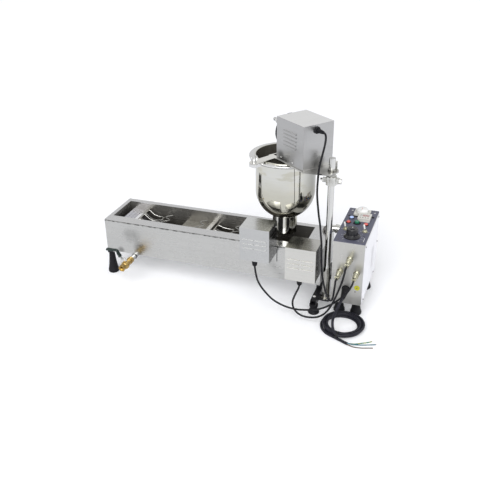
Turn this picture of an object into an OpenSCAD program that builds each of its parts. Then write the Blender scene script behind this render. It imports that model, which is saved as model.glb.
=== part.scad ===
// Automatic donut machine: a long frying trough with a chain conveyor and two wire scoops,
// a swinging hopper head on a post, two drive covers, a control box and its cables.
// Lengths are millimetres. X runs along the trough, -Y is the side with the drive covers, +Z is up.

/* [Trough] */
// Length of the trough
trough_l = 880; // [840:5:1080]
// Width of the trough
trough_w = 212; // [206:2:260]
// Height of the trough from its underside to its rim
trough_h = 138; // [132:1:170]
// Height of the underside over the floor
trough_z = 100; // [98:1:125]
// Thickness of the casing and tank sheet
sheet = 1.5; // [1:0.1:2]
// Thickness of the rim plate
rim_t = 2; // [1.5:0.1:3]
// Height of the dark joint under the rim plate
rim_joint = 2; // [1:0.1:3]
// Width of the rim at the discharge end
rim_end = 17; // [12:1:25]
// Width of the rim along the far side
rim_far = 23; // [18:1:30]
// Width of the rim over the chain
rim_near = 42; // [40:1:50]
// Width of the rim at the drive end
rim_drive = 70; // [60:1:90]
// Depth of the oil tank under the rim
tank_depth = 100; // [96:1:104]
// Dry gap between the casing and the tank on the near side
link_gap = 22; // [20:1:24]

/* [Frying bay] */
// Place of the weir between the dry well and the oil
weir_x = 96; // [92:1:104]
// Height of the weir under the rim
weir_drop = 26; // [22:1:34]
// Place of the free edge of the drain tray
tray_x = 35; // [30:1:45]
// Slope of the drain tray in degrees
tray_slope = 11; // [5:1:15]
// Place of the turning plate's first edge
plate_x = 272; // [260:1:290]
// Height of the turning plate under the rim
plate_drop = 51; // [46:1:56]
// Width of the turning bar
bar_w = 18; // [14:1:22]
// Height of the turning bar under the rim
bar_drop = 40; // [38:1:46]
// Diameter of the heater rod
heater_d = 8; // [6:0.5:9]

/* [Conveyor] */
// Pitch of the chain
pitch = 25.4; // [25.4]
// Links in each straight run of the chain
run_links = 27; // [21:3:27]
// Links from one flight to the next
flight_links = 6; // [6:3:12]
// Diameter of the chain rollers
roller_d = 7.9; // [7:0.1:8.5]
// Diameter of the flight wire
wire_d = 4; // [3:0.5:5]
// Swing of the flight wire to each side
wave = 14; // [10:1:18]
// Diameter of the conveyor drive shaft
shaft_d = 12; // [10:1:14]

/* [Scoops] */
// Place of the turner's shaft
turner_x = 412; // [408:1:420]
// Place of the discharge scoop's shaft
discharge_x = 104; // [102:1:110]
// Depth of the turner's shaft under the rim
turner_drop = 48; // [46:1:52]
// Depth of the discharge scoop's shaft under the rim
discharge_drop = 26; // [24:1:28]
// Dip of the discharge scoop's loops under its shaft
discharge_dip = 20; // [14:1:24]
// Dip of the turner's loops under its shaft
turner_dip = 8; // [4:1:10]
// Length of the scoop loops
tine_l = 78; // [66:1:80]
// Number of wire loops on a scoop
loops = 3; // [2:1:4]
// Diameter of the scoop shafts
scoop_shaft_d = 8; // [7:0.5:9]
// Length of the scoop cranks
crank_arm = 20; // [16:1:22]

/* [Drive covers] */
// Width of a drive cover along the trough
cover_l = 110; // [100:1:130]
// Depth of a drive cover
cover_d = 92; // [88:1:110]
// Height of a drive cover
cover_h = 128; // [115:1:150]
// Place of the left cover's left side
left_cover_x = 606; // [560:1:620]
// Height of the left cover's bottom under the rim
left_cover_drop = 25; // [20:1:26]
// Distance of the right cover's right side past the trough's end
right_cover_past = 4; // [0:1:6]
// Height of the right cover's bottom under the rim
right_cover_drop = 76; // [70:1:80]
// Sheet thickness of the covers
cover_t = 1.2; // [1:0.1:1.5]
// Standoff between a cover and the casing
standoff = 5; // [3:1:7]

/* [Head] */
// Diameter of the hopper
hopper_d = 219; // [200:1:240]
// Wall of the hopper
hopper_t = 2; // [1.5:0.5:3]
// Diameter of the hopper's neck
neck_d = 92; // [80:1:100]
// Gap between the neck and the rim
neck_gap = 12; // [10:1:20]
// Height of the hopper from neck to mouth
hopper_h = 302; // [270:1:340]
// Radius of the ring that holds the hopper
ring_r = 132; // [128:1:150]
// Length of the motor box
box_l = 151; // [140:1:165]
// Width of the motor box
box_w = 125; // [115:1:135]
// Height of the motor box
box_h = 152; // [145:1:170]
// Turn of the motor box in degrees
box_turn = 52.7; // [45:0.1:60]
// Thickness of the arm plate
arm_t = 4; // [3:0.5:6]
// Diameter of the crank disc
crank_d = 120; // [112:1:124]
// Radius of the crank pin's circle
throw = 50; // [40:1:51]
// Length of the connecting rod between its eyes
rod_l = 167; // [164:1:178]
// Diameter of the plunger's piston
piston_d = 59.5; // [50:0.5:60]
// Diameter of the post
post_d = 22; // [20:1:24]
// Height of the post's top over the arm plate
post_over = 44; // [30:1:60]
// Height of the lower tube of the post
socket_h = 126; // [100:1:150]

/* [Drain] */
// Diameter of the drain pipe
drain_d = 20; // [18:0.5:22]
// Length of the drain pipe in front of the casing
drain_l = 38; // [30:1:60]
// Length of the valve body
valve_l = 66; // [60:1:80]
// Reach of the valve's lever from its stem
lever_l = 75; // [66:1:90]
// Bore of the valve's outlet
outlet_d = 18; // [16:0.5:19]

/* [Control box] */
// Width of the control box
control_w = 110; // [104:1:132]
// Depth of the control box
control_d = 281; // [270:1:340]
// Height of the control box without its feet
control_h = 246; // [230:1:296]
// Height of the control box's feet
foot_h = 70; // [60:1:80]
// Gap between the trough and the control box
control_gap = 50; // [46:1:60]
// Diameter of the speed knob's skirt
knob_d = 58; // [50:1:64]

/* [Cables] */
// Diameter of the three drive cables
cable_d = 7; // [6:0.5:7]
// Diameter of the mains lead
mains_d = 10; // [9:0.5:10]
// Radius of the coil's outer turn
coil_r = 77; // [75:1:79]
// Step between turns of the coil
coil_step = 12.2; // [12:0.1:12.4]
// Turns in one layer of the coil
coil_turns = 1.7; // [1.7]

/* [Hidden] */
$fn = 48;
fit = 0.1;
touch = 0.3;
eps = 0.01;
steel = [0.78, 0.79, 0.80];
bright = [0.86, 0.87, 0.88];
dark = [0.10, 0.10, 0.11];
slate = [0.27, 0.29, 0.34];
brass = [0.80, 0.62, 0.26];
white = [0.93, 0.93, 0.92];

rim_z = trough_z + trough_h;
casing_top = rim_z - rim_t - rim_joint;
tank_floor = rim_z - tank_depth;
tank_x0 = rim_end;
tank_x1 = trough_l - 20;
tank_y0 = link_gap;
tank_y1 = trough_w - rim_far + 1;
opening_x1 = trough_l - rim_drive;
far_x = trough_l + control_gap;
control_x1 = far_x + control_w;
control_y0 = -41;
control_y1 = control_y0 + control_d;
control_top = foot_h + control_h;
panel_t = 3;
foot_base_d = 42;
foot_neck_d = 24;
left_foot_x = 12;
left_foot_y = 8;
drain_x = 118;
drain_z = trough_z - drain_d / 2 - 1;
drain_end = drain_l + valve_l;
low_x = left_foot_x - foot_base_d / 2;
side_cover_t = 1.5;
origin_x = (low_x + control_x1 + side_cover_t) / 2;
foot_out = 30;
origin_y = (trough_w + foot_out + foot_base_d / 2 - drain_end) / 2;

// Chain and sprockets
sprocket_r = pitch;
sprocket_x = trough_l - 52;
idler_x = sprocket_x - run_links * pitch;
chain_y = link_gap + 11;
chain_low = tank_floor + 15;
chain_mid = chain_low + sprocket_r;
chain_top = chain_low + 2 * sprocket_r;
wrap_links = 3;
chain_links = 2 * (run_links + wrap_links);
link_side = 4.5;
plate_th = 1.3;
link_r = 4.6;

// Scoops and their linkage
turner_z = rim_z - turner_drop;
discharge_z = rim_z - discharge_drop;
scoops = [[turner_x, turner_z], [discharge_x, discharge_z]];
link_y = 9;
arm_drive_x = left_cover_x + 54;
arm_drive_z = rim_z - 14;
crank_rest = -165;
bar_x = turner_x - 9 - bar_w;
bar_z = rim_z - bar_drop;
plate_z = rim_z - plate_drop;
weir_z = rim_z - weir_drop;

// Head
neck_z = rim_z + neck_gap;
mouth_z = neck_z + hopper_h;
arm_z = mouth_z;
box_z = arm_z + arm_t;
post_x = trough_l + 25;
post_y = -5;
head_x = post_x - 112;
head_y = post_y + 58;
axis_off = box_l / 2 + 29;
hopper_x = head_x - axis_off * sin(box_turn);
hopper_y = head_y + axis_off * cos(box_turn);
bowl_r = hopper_d / 2;
bowl_z = neck_z + 166;
ring_t = 8;
lip_t = 2;
crank_z = box_z + 89;
pin_angle = 135;
pin_u = throw * cos(pin_angle);
pin_z = crank_z + throw * sin(pin_angle);
joint_z = pin_z - sqrt(rod_l * rod_l - pin_u * pin_u);
rod_t = 8;
crank_gap = 6;
crank_t = 6;
bridge_turn = 59.5;
bridge_w = 34;
ear_turn = -131;
ear_r = 150;
post_top = box_z + post_over;
frame_top = 58;
frame_bar = 22;
frame_x = trough_l - 12;
bar_low = frame_top - 8;
collar_h = 30;
collar_z = arm_z - 16 - touch - collar_h;

// Cable routes: points chosen by hand in the machine's own coordinates
hopper_upper_route = [
    [875, -22, 689], [881, -28, 688], [886, -36, 682], [888, -45, 670], [887, -54, 652],
    [883, -61, 627], [878, -66, 600], [875, -68, 575], [874, -70, 550], [873, -71, 515],
    [874, -71, 483], [878, -71, 447], [883, -71, 410], [888, -71, 381], [892, -71, 344]];
hopper_lower_route = [
    [892, -71, 344], [896, -71, 307], [898, -73, 266], [901, -77, 228], [906, -82, 195],
    [914, -90, 165], [924, -98, 140], [934, -106, 124], [944, -114, 118], [952, -120, 126],
    [957, -124, 145], [959, -125, 165], [960, -121, 183], [959, -112, 193], [959, -103, 196],
    [959, -96, 196]];
left_route = [
    [655, -75, 195], [655, -75, 182], [657, -75, 165], [661, -76, 144], [668, -77, 122],
    [682, -78, 99], [701, -79, 78], [724, -80, 58], [751, -81, 45], [782, -82, 37],
    [815, -83, 35], [848, -85, 40], [877, -88, 48], [904, -93, 61], [926, -99, 77],
    [946, -107, 96], [965, -116, 117], [982, -124, 139], [997, -129, 160], [1009, -130, 178],
    [1016, -124, 192], [1018, -112, 197], [1018, -103, 197], [1018, -96, 197]];
right_route = [
    [823, -75, 146], [823, -75, 134], [820, -77, 120], [813, -80, 103], [807, -83, 86],
    [803, -86, 70], [805, -90, 53], [813, -94, 39], [829, -98, 28], [850, -101, 23],
    [876, -103, 25], [900, -106, 34], [920, -110, 50], [936, -115, 72], [949, -120, 98],
    [960, -125, 126], [970, -129, 156], [979, -131, 186], [986, -130, 212], [990, -124, 234],
    [991, -114, 247], [991, -105, 250], [991, -96, 250]];
mains_route = [
    [984, -96, 122], [983, -105, 120], [979, -115, 113], [975, -122, 101], [970, -126, 86],
    [965, -127, 70], [962, -128, 55], [961, -131, 43], [963, -138, 34], [967, -148, 28],
    [974, -159, 23], [984, -167, 19], [996, -170, 17]];
tail_l = 56;
coil_x = 989;
coil_y = -88;
coil_start = 290;
coil_rise = 11;
coil_low_z = mains_d / 2 + 0.2;
coil_rings = 24;
coil_sides = 6;
wire_d_bare = 2.6;
wire_routes = [
    [[0, 0, 0], [12, 3, -1], [26, 9, -3], [44, 20, -3.8], [62, 30, -3.8], [78, 42, -3.8]],
    [[0, 0, 0], [12, 0, -1], [28, 5, -4], [50, 13, -6], [74, 22, -6], [96, 31, -6]],
    [[0, 0, 0], [12, -4, -1], [28, -5, -3], [50, -2, -3.8], [72, 5, -3.8], [90, 11, -3.8]]];

// Shared helpers

// Moves the machine so that its origin is the middle of its footprint on the floor.
module place() { translate([-origin_x, -origin_y, 0]) children(); }

// Head frame: X along the crank's plane, Y from the motor box towards the hopper.
module head() { translate([head_x, head_y, 0]) rotate([0, 0, box_turn]) children(); }

module at_hopper() { translate([hopper_x, hopper_y, 0]) children(); }

module tube(od, id, h) {
    difference() {
        cylinder(d = od, h = h);
        translate([0, 0, -1]) cylinder(d = id, h = h + 2);
    }
}

// Square plate with round corners, built from exact circles.
module round_plate(l, w, t, r) {
    linear_extrude(t) union() {
        translate([r, 0]) square([l - 2 * r, w]);
        translate([0, r]) square([l, w - 2 * r]);
        for (x = [r, l - r], y = [r, w - r]) translate([x, y]) circle(r);
    }
}

function unit(v) = v / norm(v);
function across(v) = abs(v[2]) < 0.9 ? unit(cross([0, 0, 1], v)) : unit(cross([1, 0, 0], v));

// Puts children's X, Y and Z along three unit vectors at a point.
module frame_at(p, x, y, z) {
    multmatrix([
        [x[0], y[0], z[0], p[0]],
        [x[1], y[1], z[1], p[1]],
        [x[2], y[2], z[2], p[2]],
        [0, 0, 0, 1]]) children();
}

module rod_between(p, q, d) {
    w = unit(q - p);
    u = across(w);
    frame_at(p, u, cross(w, u), w) cylinder(d = d, h = norm(q - p));
}

function turn_at(a, b, c) = acos(max(-1, min(1, unit(b - a) * unit(c - b))));
function cut_at(a, b, c, r) = r * tan(turn_at(a, b, c) / 2);

// Round rod through corner points, bent to one radius at each corner.
module bent_rod(pts, r, d) {
    last = len(pts) - 1;
    for (i = [0 : last - 1]) {
        w = unit(pts[i + 1] - pts[i]);
        start = i == 0 ? 0 : cut_at(pts[i - 1], pts[i], pts[i + 1], r);
        stop = i == last - 1 ? 0 : cut_at(pts[i], pts[i + 1], pts[i + 2], r);
        rod_between(pts[i] + w * start, pts[i + 1] - w * stop, d);
    }
    for (i = [1 : last - 1]) {
        u = unit(pts[i] - pts[i - 1]);
        v = unit(pts[i + 1] - pts[i]);
        n = unit(v - u * (u * v));
        c = pts[i] - u * cut_at(pts[i - 1], pts[i], pts[i + 1], r) + n * r;
        frame_at(c, -n, u, cross(-n, u))
            rotate_extrude(angle = turn_at(pts[i - 1], pts[i], pts[i + 1]))
                translate([r, 0]) circle(d = d);
    }
}

// Smooth curve through a route's points, a few steps between each pair.
function spline(p0, p1, p2, p3, t) = 0.5 * (2 * p1 + (p2 - p0) * t
    + (2 * p0 - 5 * p1 + 4 * p2 - p3) * t * t + (3 * p1 - p0 - 3 * p2 + p3) * t * t * t);
function smooth(route, steps) = let (n = len(route) - 1) concat(
    [for (i = [0 : n - 1], s = [0 : steps - 1])
        spline(route[max(i - 1, 0)], route[i], route[i + 1], route[min(i + 2, n)], s / steps)],
    [route[n]]);
function tangent(path, i) = unit(path[min(i + 1, len(path) - 1)] - path[max(i - 1, 0)]);
function carried(n, w) = unit(n - w * (n * w));
function normals(path) = [for (
    i = 0, n = across(tangent(path, 0));
    i < len(path);
    i = i + 1, n = i < len(path) ? carried(n, tangent(path, i)) : n) n];

// Closed tube of a few sides swept along a path as one polyhedron.
module swept_tube(path, d, sides) {
    ns = normals(path);
    rings = [for (i = [0 : len(path) - 1], k = [0 : sides - 1])
        let (b = cross(tangent(path, i), ns[i]))
            path[i] + (ns[i] * cos(360 * k / sides) + b * sin(360 * k / sides)) * d / 2];
    last = (len(path) - 1) * sides;
    walls = [for (i = [0 : len(path) - 2], k = [0 : sides - 1])
        let (a = i * sides + k, b = i * sides + (k + 1) % sides)
            each [[a, b + sides, b], [a, a + sides, b + sides]]];
    caps = [for (k = [1 : sides - 2]) each [[0, k, k + 1], [last, last + k + 1, last + k]]];
    polyhedron(rings, concat(walls, caps), convexity = 10);
}

// One pressed louvre: a half-round hood over its slot, standing on the XZ plane towards -Y.
module louvre_hood(l, r) {
    difference() {
        rotate([0, 90, 0]) cylinder(r = r, h = l, $fn = 32);
        translate([-1, 0, 0]) rotate([0, 90, 0]) cylinder(r = r - 0.8, h = l + 2, $fn = 32);
        translate([-1, 0, -r - 1]) cube([l + 2, r + 1, 2 * r + 2]);
        translate([-1, -r - 1, -r - 1]) cube([l + 2, r + 2, r + 0.4]);
    }
}

module louvre_slot(l, h) { translate([0.8, -1, -h]) cube([l - 1.6, 4, h]); }

// Trough

module trough_casing() place() color(steel) {
    lip = 10;
    difference() {
        translate([0, 0, trough_z]) cube([trough_l, trough_w, casing_top - trough_z]);
        translate([sheet, sheet, trough_z + sheet])
            cube([trough_l - 2 * sheet, trough_w - 2 * sheet, casing_top - trough_z - 2 * sheet]);
        translate([lip, lip, casing_top - 2 * sheet])
            cube([trough_l - 2 * lip, trough_w - 2 * lip, 3 * sheet]);
        translate([drain_x, drain_bend_y, trough_z - 1]) cylinder(d = drain_d + 1, h = sheet + 2);
        translate([sprocket_x, -1, chain_mid]) rotate([-90, 0, 0]) cylinder(d = shaft_d + 6, h = sheet + 2);
        translate([arm_drive_x, -1, arm_drive_z]) rotate([-90, 0, 0]) cylinder(d = 14, h = sheet + 2);
    }
    // Dark joint strip that carries the rim plate
    inset = 3;
    difference() {
        translate([inset, inset, casing_top])
            cube([trough_l - 2 * inset, trough_w - 2 * inset, rim_joint]);
        translate([lip, lip, casing_top - 1])
            cube([trough_l - 2 * lip, trough_w - 2 * lip, rim_joint + 2]);
    }
}

module oil_tank() place() color(bright) {
    difference() {
        union() {
            translate([0, 0, rim_z - rim_t]) cube([trough_l, trough_w, rim_t]);
            translate([tank_x0 - sheet, tank_y0 - sheet, tank_floor - sheet])
                cube([tank_x1 - tank_x0 + 2 * sheet, tank_y1 - tank_y0 + 2 * sheet,
                    tank_depth - rim_t + sheet]);
        }
        translate([tank_x0, tank_y0, tank_floor])
            cube([tank_x1 - tank_x0, tank_y1 - tank_y0, tank_depth - rim_t]);
        translate([rim_end, rim_near, rim_z - 2 * rim_t])
            cube([opening_x1 - rim_end, trough_w - rim_far - rim_near, 3 * rim_t]);
        for (p = scoops)
            translate([p[0], tank_y0 - sheet - 1, p[1]]) rotate([-90, 0, 0])
                cylinder(d = scoop_shaft_d + 6, h = sheet + 2);
        for (x = [sprocket_x, idler_x])
            translate([x, tank_y0 - sheet - 1, chain_mid]) rotate([-90, 0, 0])
                cylinder(d = shaft_d + 6, h = sheet + 2);
        translate([drain_x, drain_bend_y, tank_floor - sheet - 1]) cylinder(d = drain_d - 4, h = sheet + 2);
        for (y = heater_ends)
            translate([heater_up_x, y, rim_z - rim_t - 1]) cylinder(d = heater_d + 2 * fit, h = rim_t + 2);
    }
}

drain_bend_y = link_gap + 28;

// Sloped, pierced tray where the donuts drain, with the weir that keeps the oil back.
module drain_tray() place() color(bright) {
    run = weir_x - tray_x;
    span = tank_y1 - tank_y0;
    rows = 4;
    cols = 11;
    low_z = weir_z - 14;
    tray_pitch = 13;
    difference() {
        translate([weir_x, tank_y0, low_z]) rotate([0, tray_slope, 0])
            translate([-run / cos(tray_slope), 0, -sheet]) cube([run / cos(tray_slope), span, sheet]);
        translate([weir_x, tank_y0, low_z]) rotate([0, tray_slope, 0])
            for (i = [0 : rows - 1], j = [0 : cols - 1])
                translate([-run + 11 + i * tray_pitch, 16 + j * tray_pitch + i % 2 * 6, -sheet - 1])
                    cylinder(d = 4, h = sheet + 2, $fn = 24);
    }
    translate([weir_x - eps, tank_y0, tank_floor]) cube([sheet, span, weir_z - tank_floor]);
    translate([weir_x - 11, tank_y0, weir_z - sheet]) cube([11 + sheet, span, sheet]);
}

// Fixed plate on which the turned donut lands, and the bar beside the turner's shaft.
module turning_plate() place() color(bright) {
    y0 = rim_near + 3;
    span = tank_y1 - y0;
    lip = 8;
    translate([plate_x, y0, plate_z - sheet]) cube([bar_x - plate_x + eps, span, sheet]);
    translate([plate_x, y0, plate_z - lip]) cube([sheet, span, lip]);
    translate([bar_x, y0, plate_z - lip]) cube([sheet, span, bar_z - plate_z + lip]);
    translate([bar_x, y0, bar_z - sheet]) cube([bar_w, span, sheet]);
    translate([bar_x + bar_w - sheet, y0, bar_z - 12]) cube([sheet, span, 12]);
}

heater_up_x = tank_x1 - 12;
heater_ends = [tank_y1 - 8, tank_y1 - 22];
terminal_y = tank_y1 - 15;
terminal_z = rim_z + 14;
terminal_l = 52;
heater_z = tank_floor + heater_d / 2 + 1;

// Tubular heater: one rod that runs four times along the tank floor.
module heating_element() place() color([0.55, 0.54, 0.52]) {
    y1 = heater_ends[0];
    y2 = heater_ends[1];
    y3 = chain_y + 20;
    y4 = y3 + 26;
    x0 = weir_x + 24;
    x1 = opening_x1 - 16;
    step = 26;
    bent_rod([
        [far_x - terminal_l, y1, terminal_z], [heater_up_x, y1, terminal_z],
        [heater_up_x, y1, heater_z], [x0, y1, heater_z],
        [x0, y3, heater_z], [x1, y3, heater_z], [x1, y4, heater_z], [x0 + step, y4, heater_z],
        [x0 + step, y2, heater_z], [heater_up_x, y2, heater_z],
        [heater_up_x, y2, terminal_z], [far_x - terminal_l, y2, terminal_z]], 11, heater_d);
}

// Conveyor

// Pin number k along the closed chain, from the drive sprocket's top towards the idler.
function pin_at(k) = k <= run_links ? [sprocket_x - k * pitch, chain_top]
    : k <= run_links + wrap_links ? let (a = 90 + 60 * (k - run_links))
        [idler_x + sprocket_r * cos(a), chain_mid + sprocket_r * sin(a)]
    : k <= 2 * run_links + wrap_links ? [idler_x + (k - run_links - wrap_links) * pitch, chain_low]
    : let (a = -90 + 60 * (k - 2 * run_links - wrap_links))
        [sprocket_x + sprocket_r * cos(a), chain_mid + sprocket_r * sin(a)];
function heading(k) = let (d = pin_at(k + 1) - pin_at(k)) atan2(d[1], d[0]);

// Children's X along link k, Z towards the far side of the trough.
module on_link(k) {
    p = pin_at(k);
    translate([p[0], chain_y, p[1]]) rotate([0, -heading(k), 0]) rotate([90, 0, 0]) children();
}

pin_r = 2;
outer_face = link_side + plate_th + fit;

module link_plate() {
    linear_extrude(plate_th) union() {
        circle(link_r);
        translate([pitch, 0]) circle(link_r);
        translate([0, -link_r * 0.75]) square([pitch, link_r * 1.5]);
    }
}

// Two plates and the two rollers between them, bored for the neighbours' pins.
module inner_link() {
    difference() {
        union() {
            for (z = [-link_side - plate_th, link_side]) translate([0, 0, z]) link_plate();
            for (x = [0, pitch]) translate([x, 0, -link_side - eps])
                cylinder(d = roller_d, h = 2 * link_side + 2 * eps);
        }
        for (x = [0, pitch]) translate([x, 0, -outer_face]) cylinder(r = pin_r + fit, h = 2 * outer_face);
    }
}

// Two plates outside the inner links', joined by the two pins.
module outer_link() {
    for (z = [-outer_face - plate_th, outer_face]) translate([0, 0, z]) link_plate();
    pin_l = 2 * (outer_face + plate_th + 0.6);
    for (x = [0, pitch]) translate([x, 0, -pin_l / 2]) cylinder(r = pin_r, h = pin_l);
}

// Double-pitch roller chain: inner and outer links in turn round both sprockets.
module conveyor_chain() place() color([0.62, 0.62, 0.62]) {
    for (k = [0 : 2 : chain_links - 1]) on_link(k) outer_link();
    for (k = [1 : 2 : chain_links - 1]) on_link(k) inner_link();
}

flight_y = chain_y + outer_face + plate_th;

// Wavy wire flights that push the donuts along, each on a tab of its own chain link.
module conveyor_flights() place() color(bright) {
    tab_t = 1.6;
    reach = tank_y1 - 10 - flight_y;
    knees = 5;
    rise = reach / (knees + 1);
    for (k = [0 : flight_links : chain_links - 1]) {
        mid = (pin_at(k) + pin_at(k + 1)) / 2;
        if (abs(pin_at(k)[1] - pin_at(k + 1)[1]) < 1) translate([mid[0], 0, mid[1]]) {
            translate([-7, flight_y, -link_r]) cube([14, tab_t, 2 * link_r]);
            swept_tube(smooth(concat(
                [[0, flight_y + 0.8 * tab_t, 0]],
                [for (i = [1 : knees]) [i % 2 == 1 ? -wave : wave, flight_y + i * rise, 0]],
                [[wave / 2, flight_y + reach, 0]]), 3), wire_d, 8);
        }
    }
}

// Bushes in the tank wall for the four shafts, and the idler's fixed axle.
module shaft_bushes() place() color([0.72, 0.56, 0.33]) {
    flange = 1.5;
    for (p = scoops)
        translate([p[0], tank_y0 - sheet - flange, p[1]]) rotate([-90, 0, 0]) {
            tube(scoop_shaft_d + 12, scoop_shaft_d + fit, flange);
            tube(scoop_shaft_d + 6, scoop_shaft_d + fit, flange + sheet);
        }
    translate([sprocket_x, tank_y0 - sheet - flange, chain_mid]) rotate([-90, 0, 0]) {
        tube(shaft_d + 12, shaft_d + fit, flange);
        tube(shaft_d + 6, shaft_d + fit, flange + sheet);
    }
    translate([idler_x, tank_y0 - sheet - flange, chain_mid]) rotate([-90, 0, 0]) {
        cylinder(d = shaft_d + 12, h = flange);
        cylinder(d = shaft_d + 6, h = flange + sheet);
        cylinder(d = shaft_d, h = flange + sheet + chain_y - tank_y0 + 9);
    }
}

// Twelve-tooth sprocket for the double-pitch chain, cut by one round gap a tooth.
module sprocket(bore) {
    teeth = 12;
    width = 7;
    translate([0, width / 2, 0]) rotate([90, 0, 0]) linear_extrude(width) difference() {
        circle(r = sprocket_r + 2.6);
        for (i = [0 : teeth - 1]) rotate(i * 360 / teeth + 90) translate([sprocket_r, 0])
            circle(d = roller_d + 2 * touch, $fn = 24);
        circle(d = bore);
    }
}

module idler_sprocket() place() color([0.6, 0.6, 0.6]) {
    translate([idler_x, chain_y, chain_mid]) {
        sprocket(shaft_d + fit);
        translate([0, 3.5 - eps, 0]) rotate([-90, 0, 0]) tube(shaft_d + 9, shaft_d + fit, 4);
    }
}

// The driven sprocket is keyed to the shaft that comes through the tank and casing walls.
module drive_sprocket() place() color([0.6, 0.6, 0.6]) {
    gearbox_face = -standoff - cover_t - 2;
    translate([sprocket_x, chain_y, chain_mid]) {
        sprocket(shaft_d - 1);
        translate([0, -3.5 - 5, 0]) rotate([-90, 0, 0]) cylinder(d = shaft_d + 8, h = 5 + eps);
        translate([0, gearbox_face - chain_y, 0]) rotate([-90, 0, 0])
            cylinder(d = shaft_d, h = chain_y - gearbox_face + 9);
    }
}

// Scoops

// A wire scoop: a shaft across the tank, loops of wire that dip under the oil, and a crank outside.
module scoop(x, z, dip) {
    inner_y0 = rim_near + 8;
    inner_y1 = tank_y1 - 8;
    step = (inner_y1 - inner_y0) / loops;
    half = step / 2 - 5;
    translate([x, 0, z]) {
        translate([0, link_y + 2, 0]) rotate([-90, 0, 0])
            cylinder(d = scoop_shaft_d, h = tank_y1 - 1 - link_y - 2);
        for (i = [0 : loops - 1]) let (y = inner_y0 + (i + 0.5) * step)
            swept_tube(smooth([
                [0, y - half, 0], [8, y - half, 0], [24, y - half, -dip * 0.7],
                [42, y - half, -dip], [tine_l - 14, y - half + 1, -dip],
                [tine_l - 2, y - half * 0.55, -dip + 1], [tine_l - 6, y, -dip + 4],
                [tine_l - 2, y + half * 0.55, -dip + 1], [tine_l - 14, y + half - 1, -dip],
                [42, y + half, -dip], [24, y + half, -dip * 0.7], [8, y + half, 0],
                [0, y + half, 0]], 2), wire_d * 0.8, 8);
        rotate([0, -crank_rest, 0]) crank_lever();
    }
}

// Flat crank on a scoop shaft with the pin that takes the link rod.
module crank_lever() {
    thick = 3;
    translate([0, link_y + 4, 0]) rotate([90, 0, 0]) {
        linear_extrude(thick) union() {
            circle(7);
            translate([crank_arm, 0]) circle(5);
            translate([0, -4]) square([crank_arm, 8]);
        }
        translate([crank_arm, 0, thick - eps]) cylinder(d = 5, h = 6);
    }
}

module turner_scoop() place() color(bright) scoop(turner_x, turner_z, turner_dip);

module discharge_scoop() place() color(bright) scoop(discharge_x, discharge_z, discharge_dip);

// Output shaft and crank of the left gear motor.
module drive_arm() place() color(bright) {
    translate([arm_drive_x, 0, arm_drive_z]) {
        translate([0, -standoff - cover_t - 2, 0]) rotate([-90, 0, 0])
            cylinder(d = 10, h = link_y + 2 + standoff + cover_t + 2);
        rotate([0, -crank_rest, 0]) crank_lever();
    }
}

// Flat rod that joins the three cranks, cranked up towards the drive.
module link_rod() place() color(steel) {
    thick = 3;
    off = [crank_arm * cos(crank_rest), crank_arm * sin(crank_rest)];
    pivots = [[discharge_x, discharge_z], [turner_x, turner_z], [arm_drive_x, arm_drive_z]];
    translate([off[0], link_y - 1, off[1]]) rotate([90, 0, 0]) linear_extrude(thick)
        difference() {
            union() {
                for (i = [0 : 2]) translate(pivots[i]) circle(6);
                for (i = [0 : 1]) let (d = pivots[i + 1] - pivots[i])
                    translate(pivots[i]) rotate(atan2(d[1], d[0])) translate([0, -4]) square([norm(d), 8]);
            }
            translate(pivots[0]) circle(2.5 + touch);
            translate(pivots[1]) circle(2.5 + fit / 2);
            translate(pivots[2]) circle(2.5 + touch);
        }
}

// Drives

left_cover_z = rim_z - left_cover_drop;
right_cover_z = rim_z - right_cover_drop;
right_cover_x = trough_l + right_cover_past - cover_l;

// Gear motor with an offset output: gearbox, can and end cap, on its mounting plate.
module gearmotor(x, cover_z, shaft_x, shaft_z) {
    plate_y = -standoff - cover_t;
    box_front = plate_y - 34;
    translate([x + cover_t + touch, plate_y, cover_z + cover_t + touch])
        cube([cover_l - 2 * cover_t - 2 * touch, cover_t, cover_h - 2 * cover_t - 2 * touch]);
    for (dx = [14, cover_l - 14])
        translate([x + dx, plate_y + cover_t - eps, shaft_z + (shaft_z > rim_z - 20 ? -4 : 20)])
            rotate([-90, 0, 0]) cylinder(d = 9, h = standoff + eps);
    translate([shaft_x - 38, box_front, cover_z + 4]) cube([76, plate_y - box_front + eps, 84]);
    translate([shaft_x, box_front + eps, cover_z + 48]) rotate([90, 0, 0]) {
        cylinder(d = 70, h = 40);
        translate([0, 0, 40 - eps]) cylinder(d = 58, h = 5);
    }
}

module drive_gearmotors() place() color([0.45, 0.46, 0.48]) {
    difference() {
        gearmotor(left_cover_x, left_cover_z, arm_drive_x, arm_drive_z);
        translate([arm_drive_x, -standoff - cover_t - 3, arm_drive_z]) rotate([-90, 0, 0])
            cylinder(d = 10 + fit, h = 8);
    }
    difference() {
        gearmotor(right_cover_x, right_cover_z, sprocket_x, chain_mid);
        translate([sprocket_x, -standoff - cover_t - 3, chain_mid]) rotate([-90, 0, 0])
            cylinder(d = shaft_d + fit, h = 8);
    }
}

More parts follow.
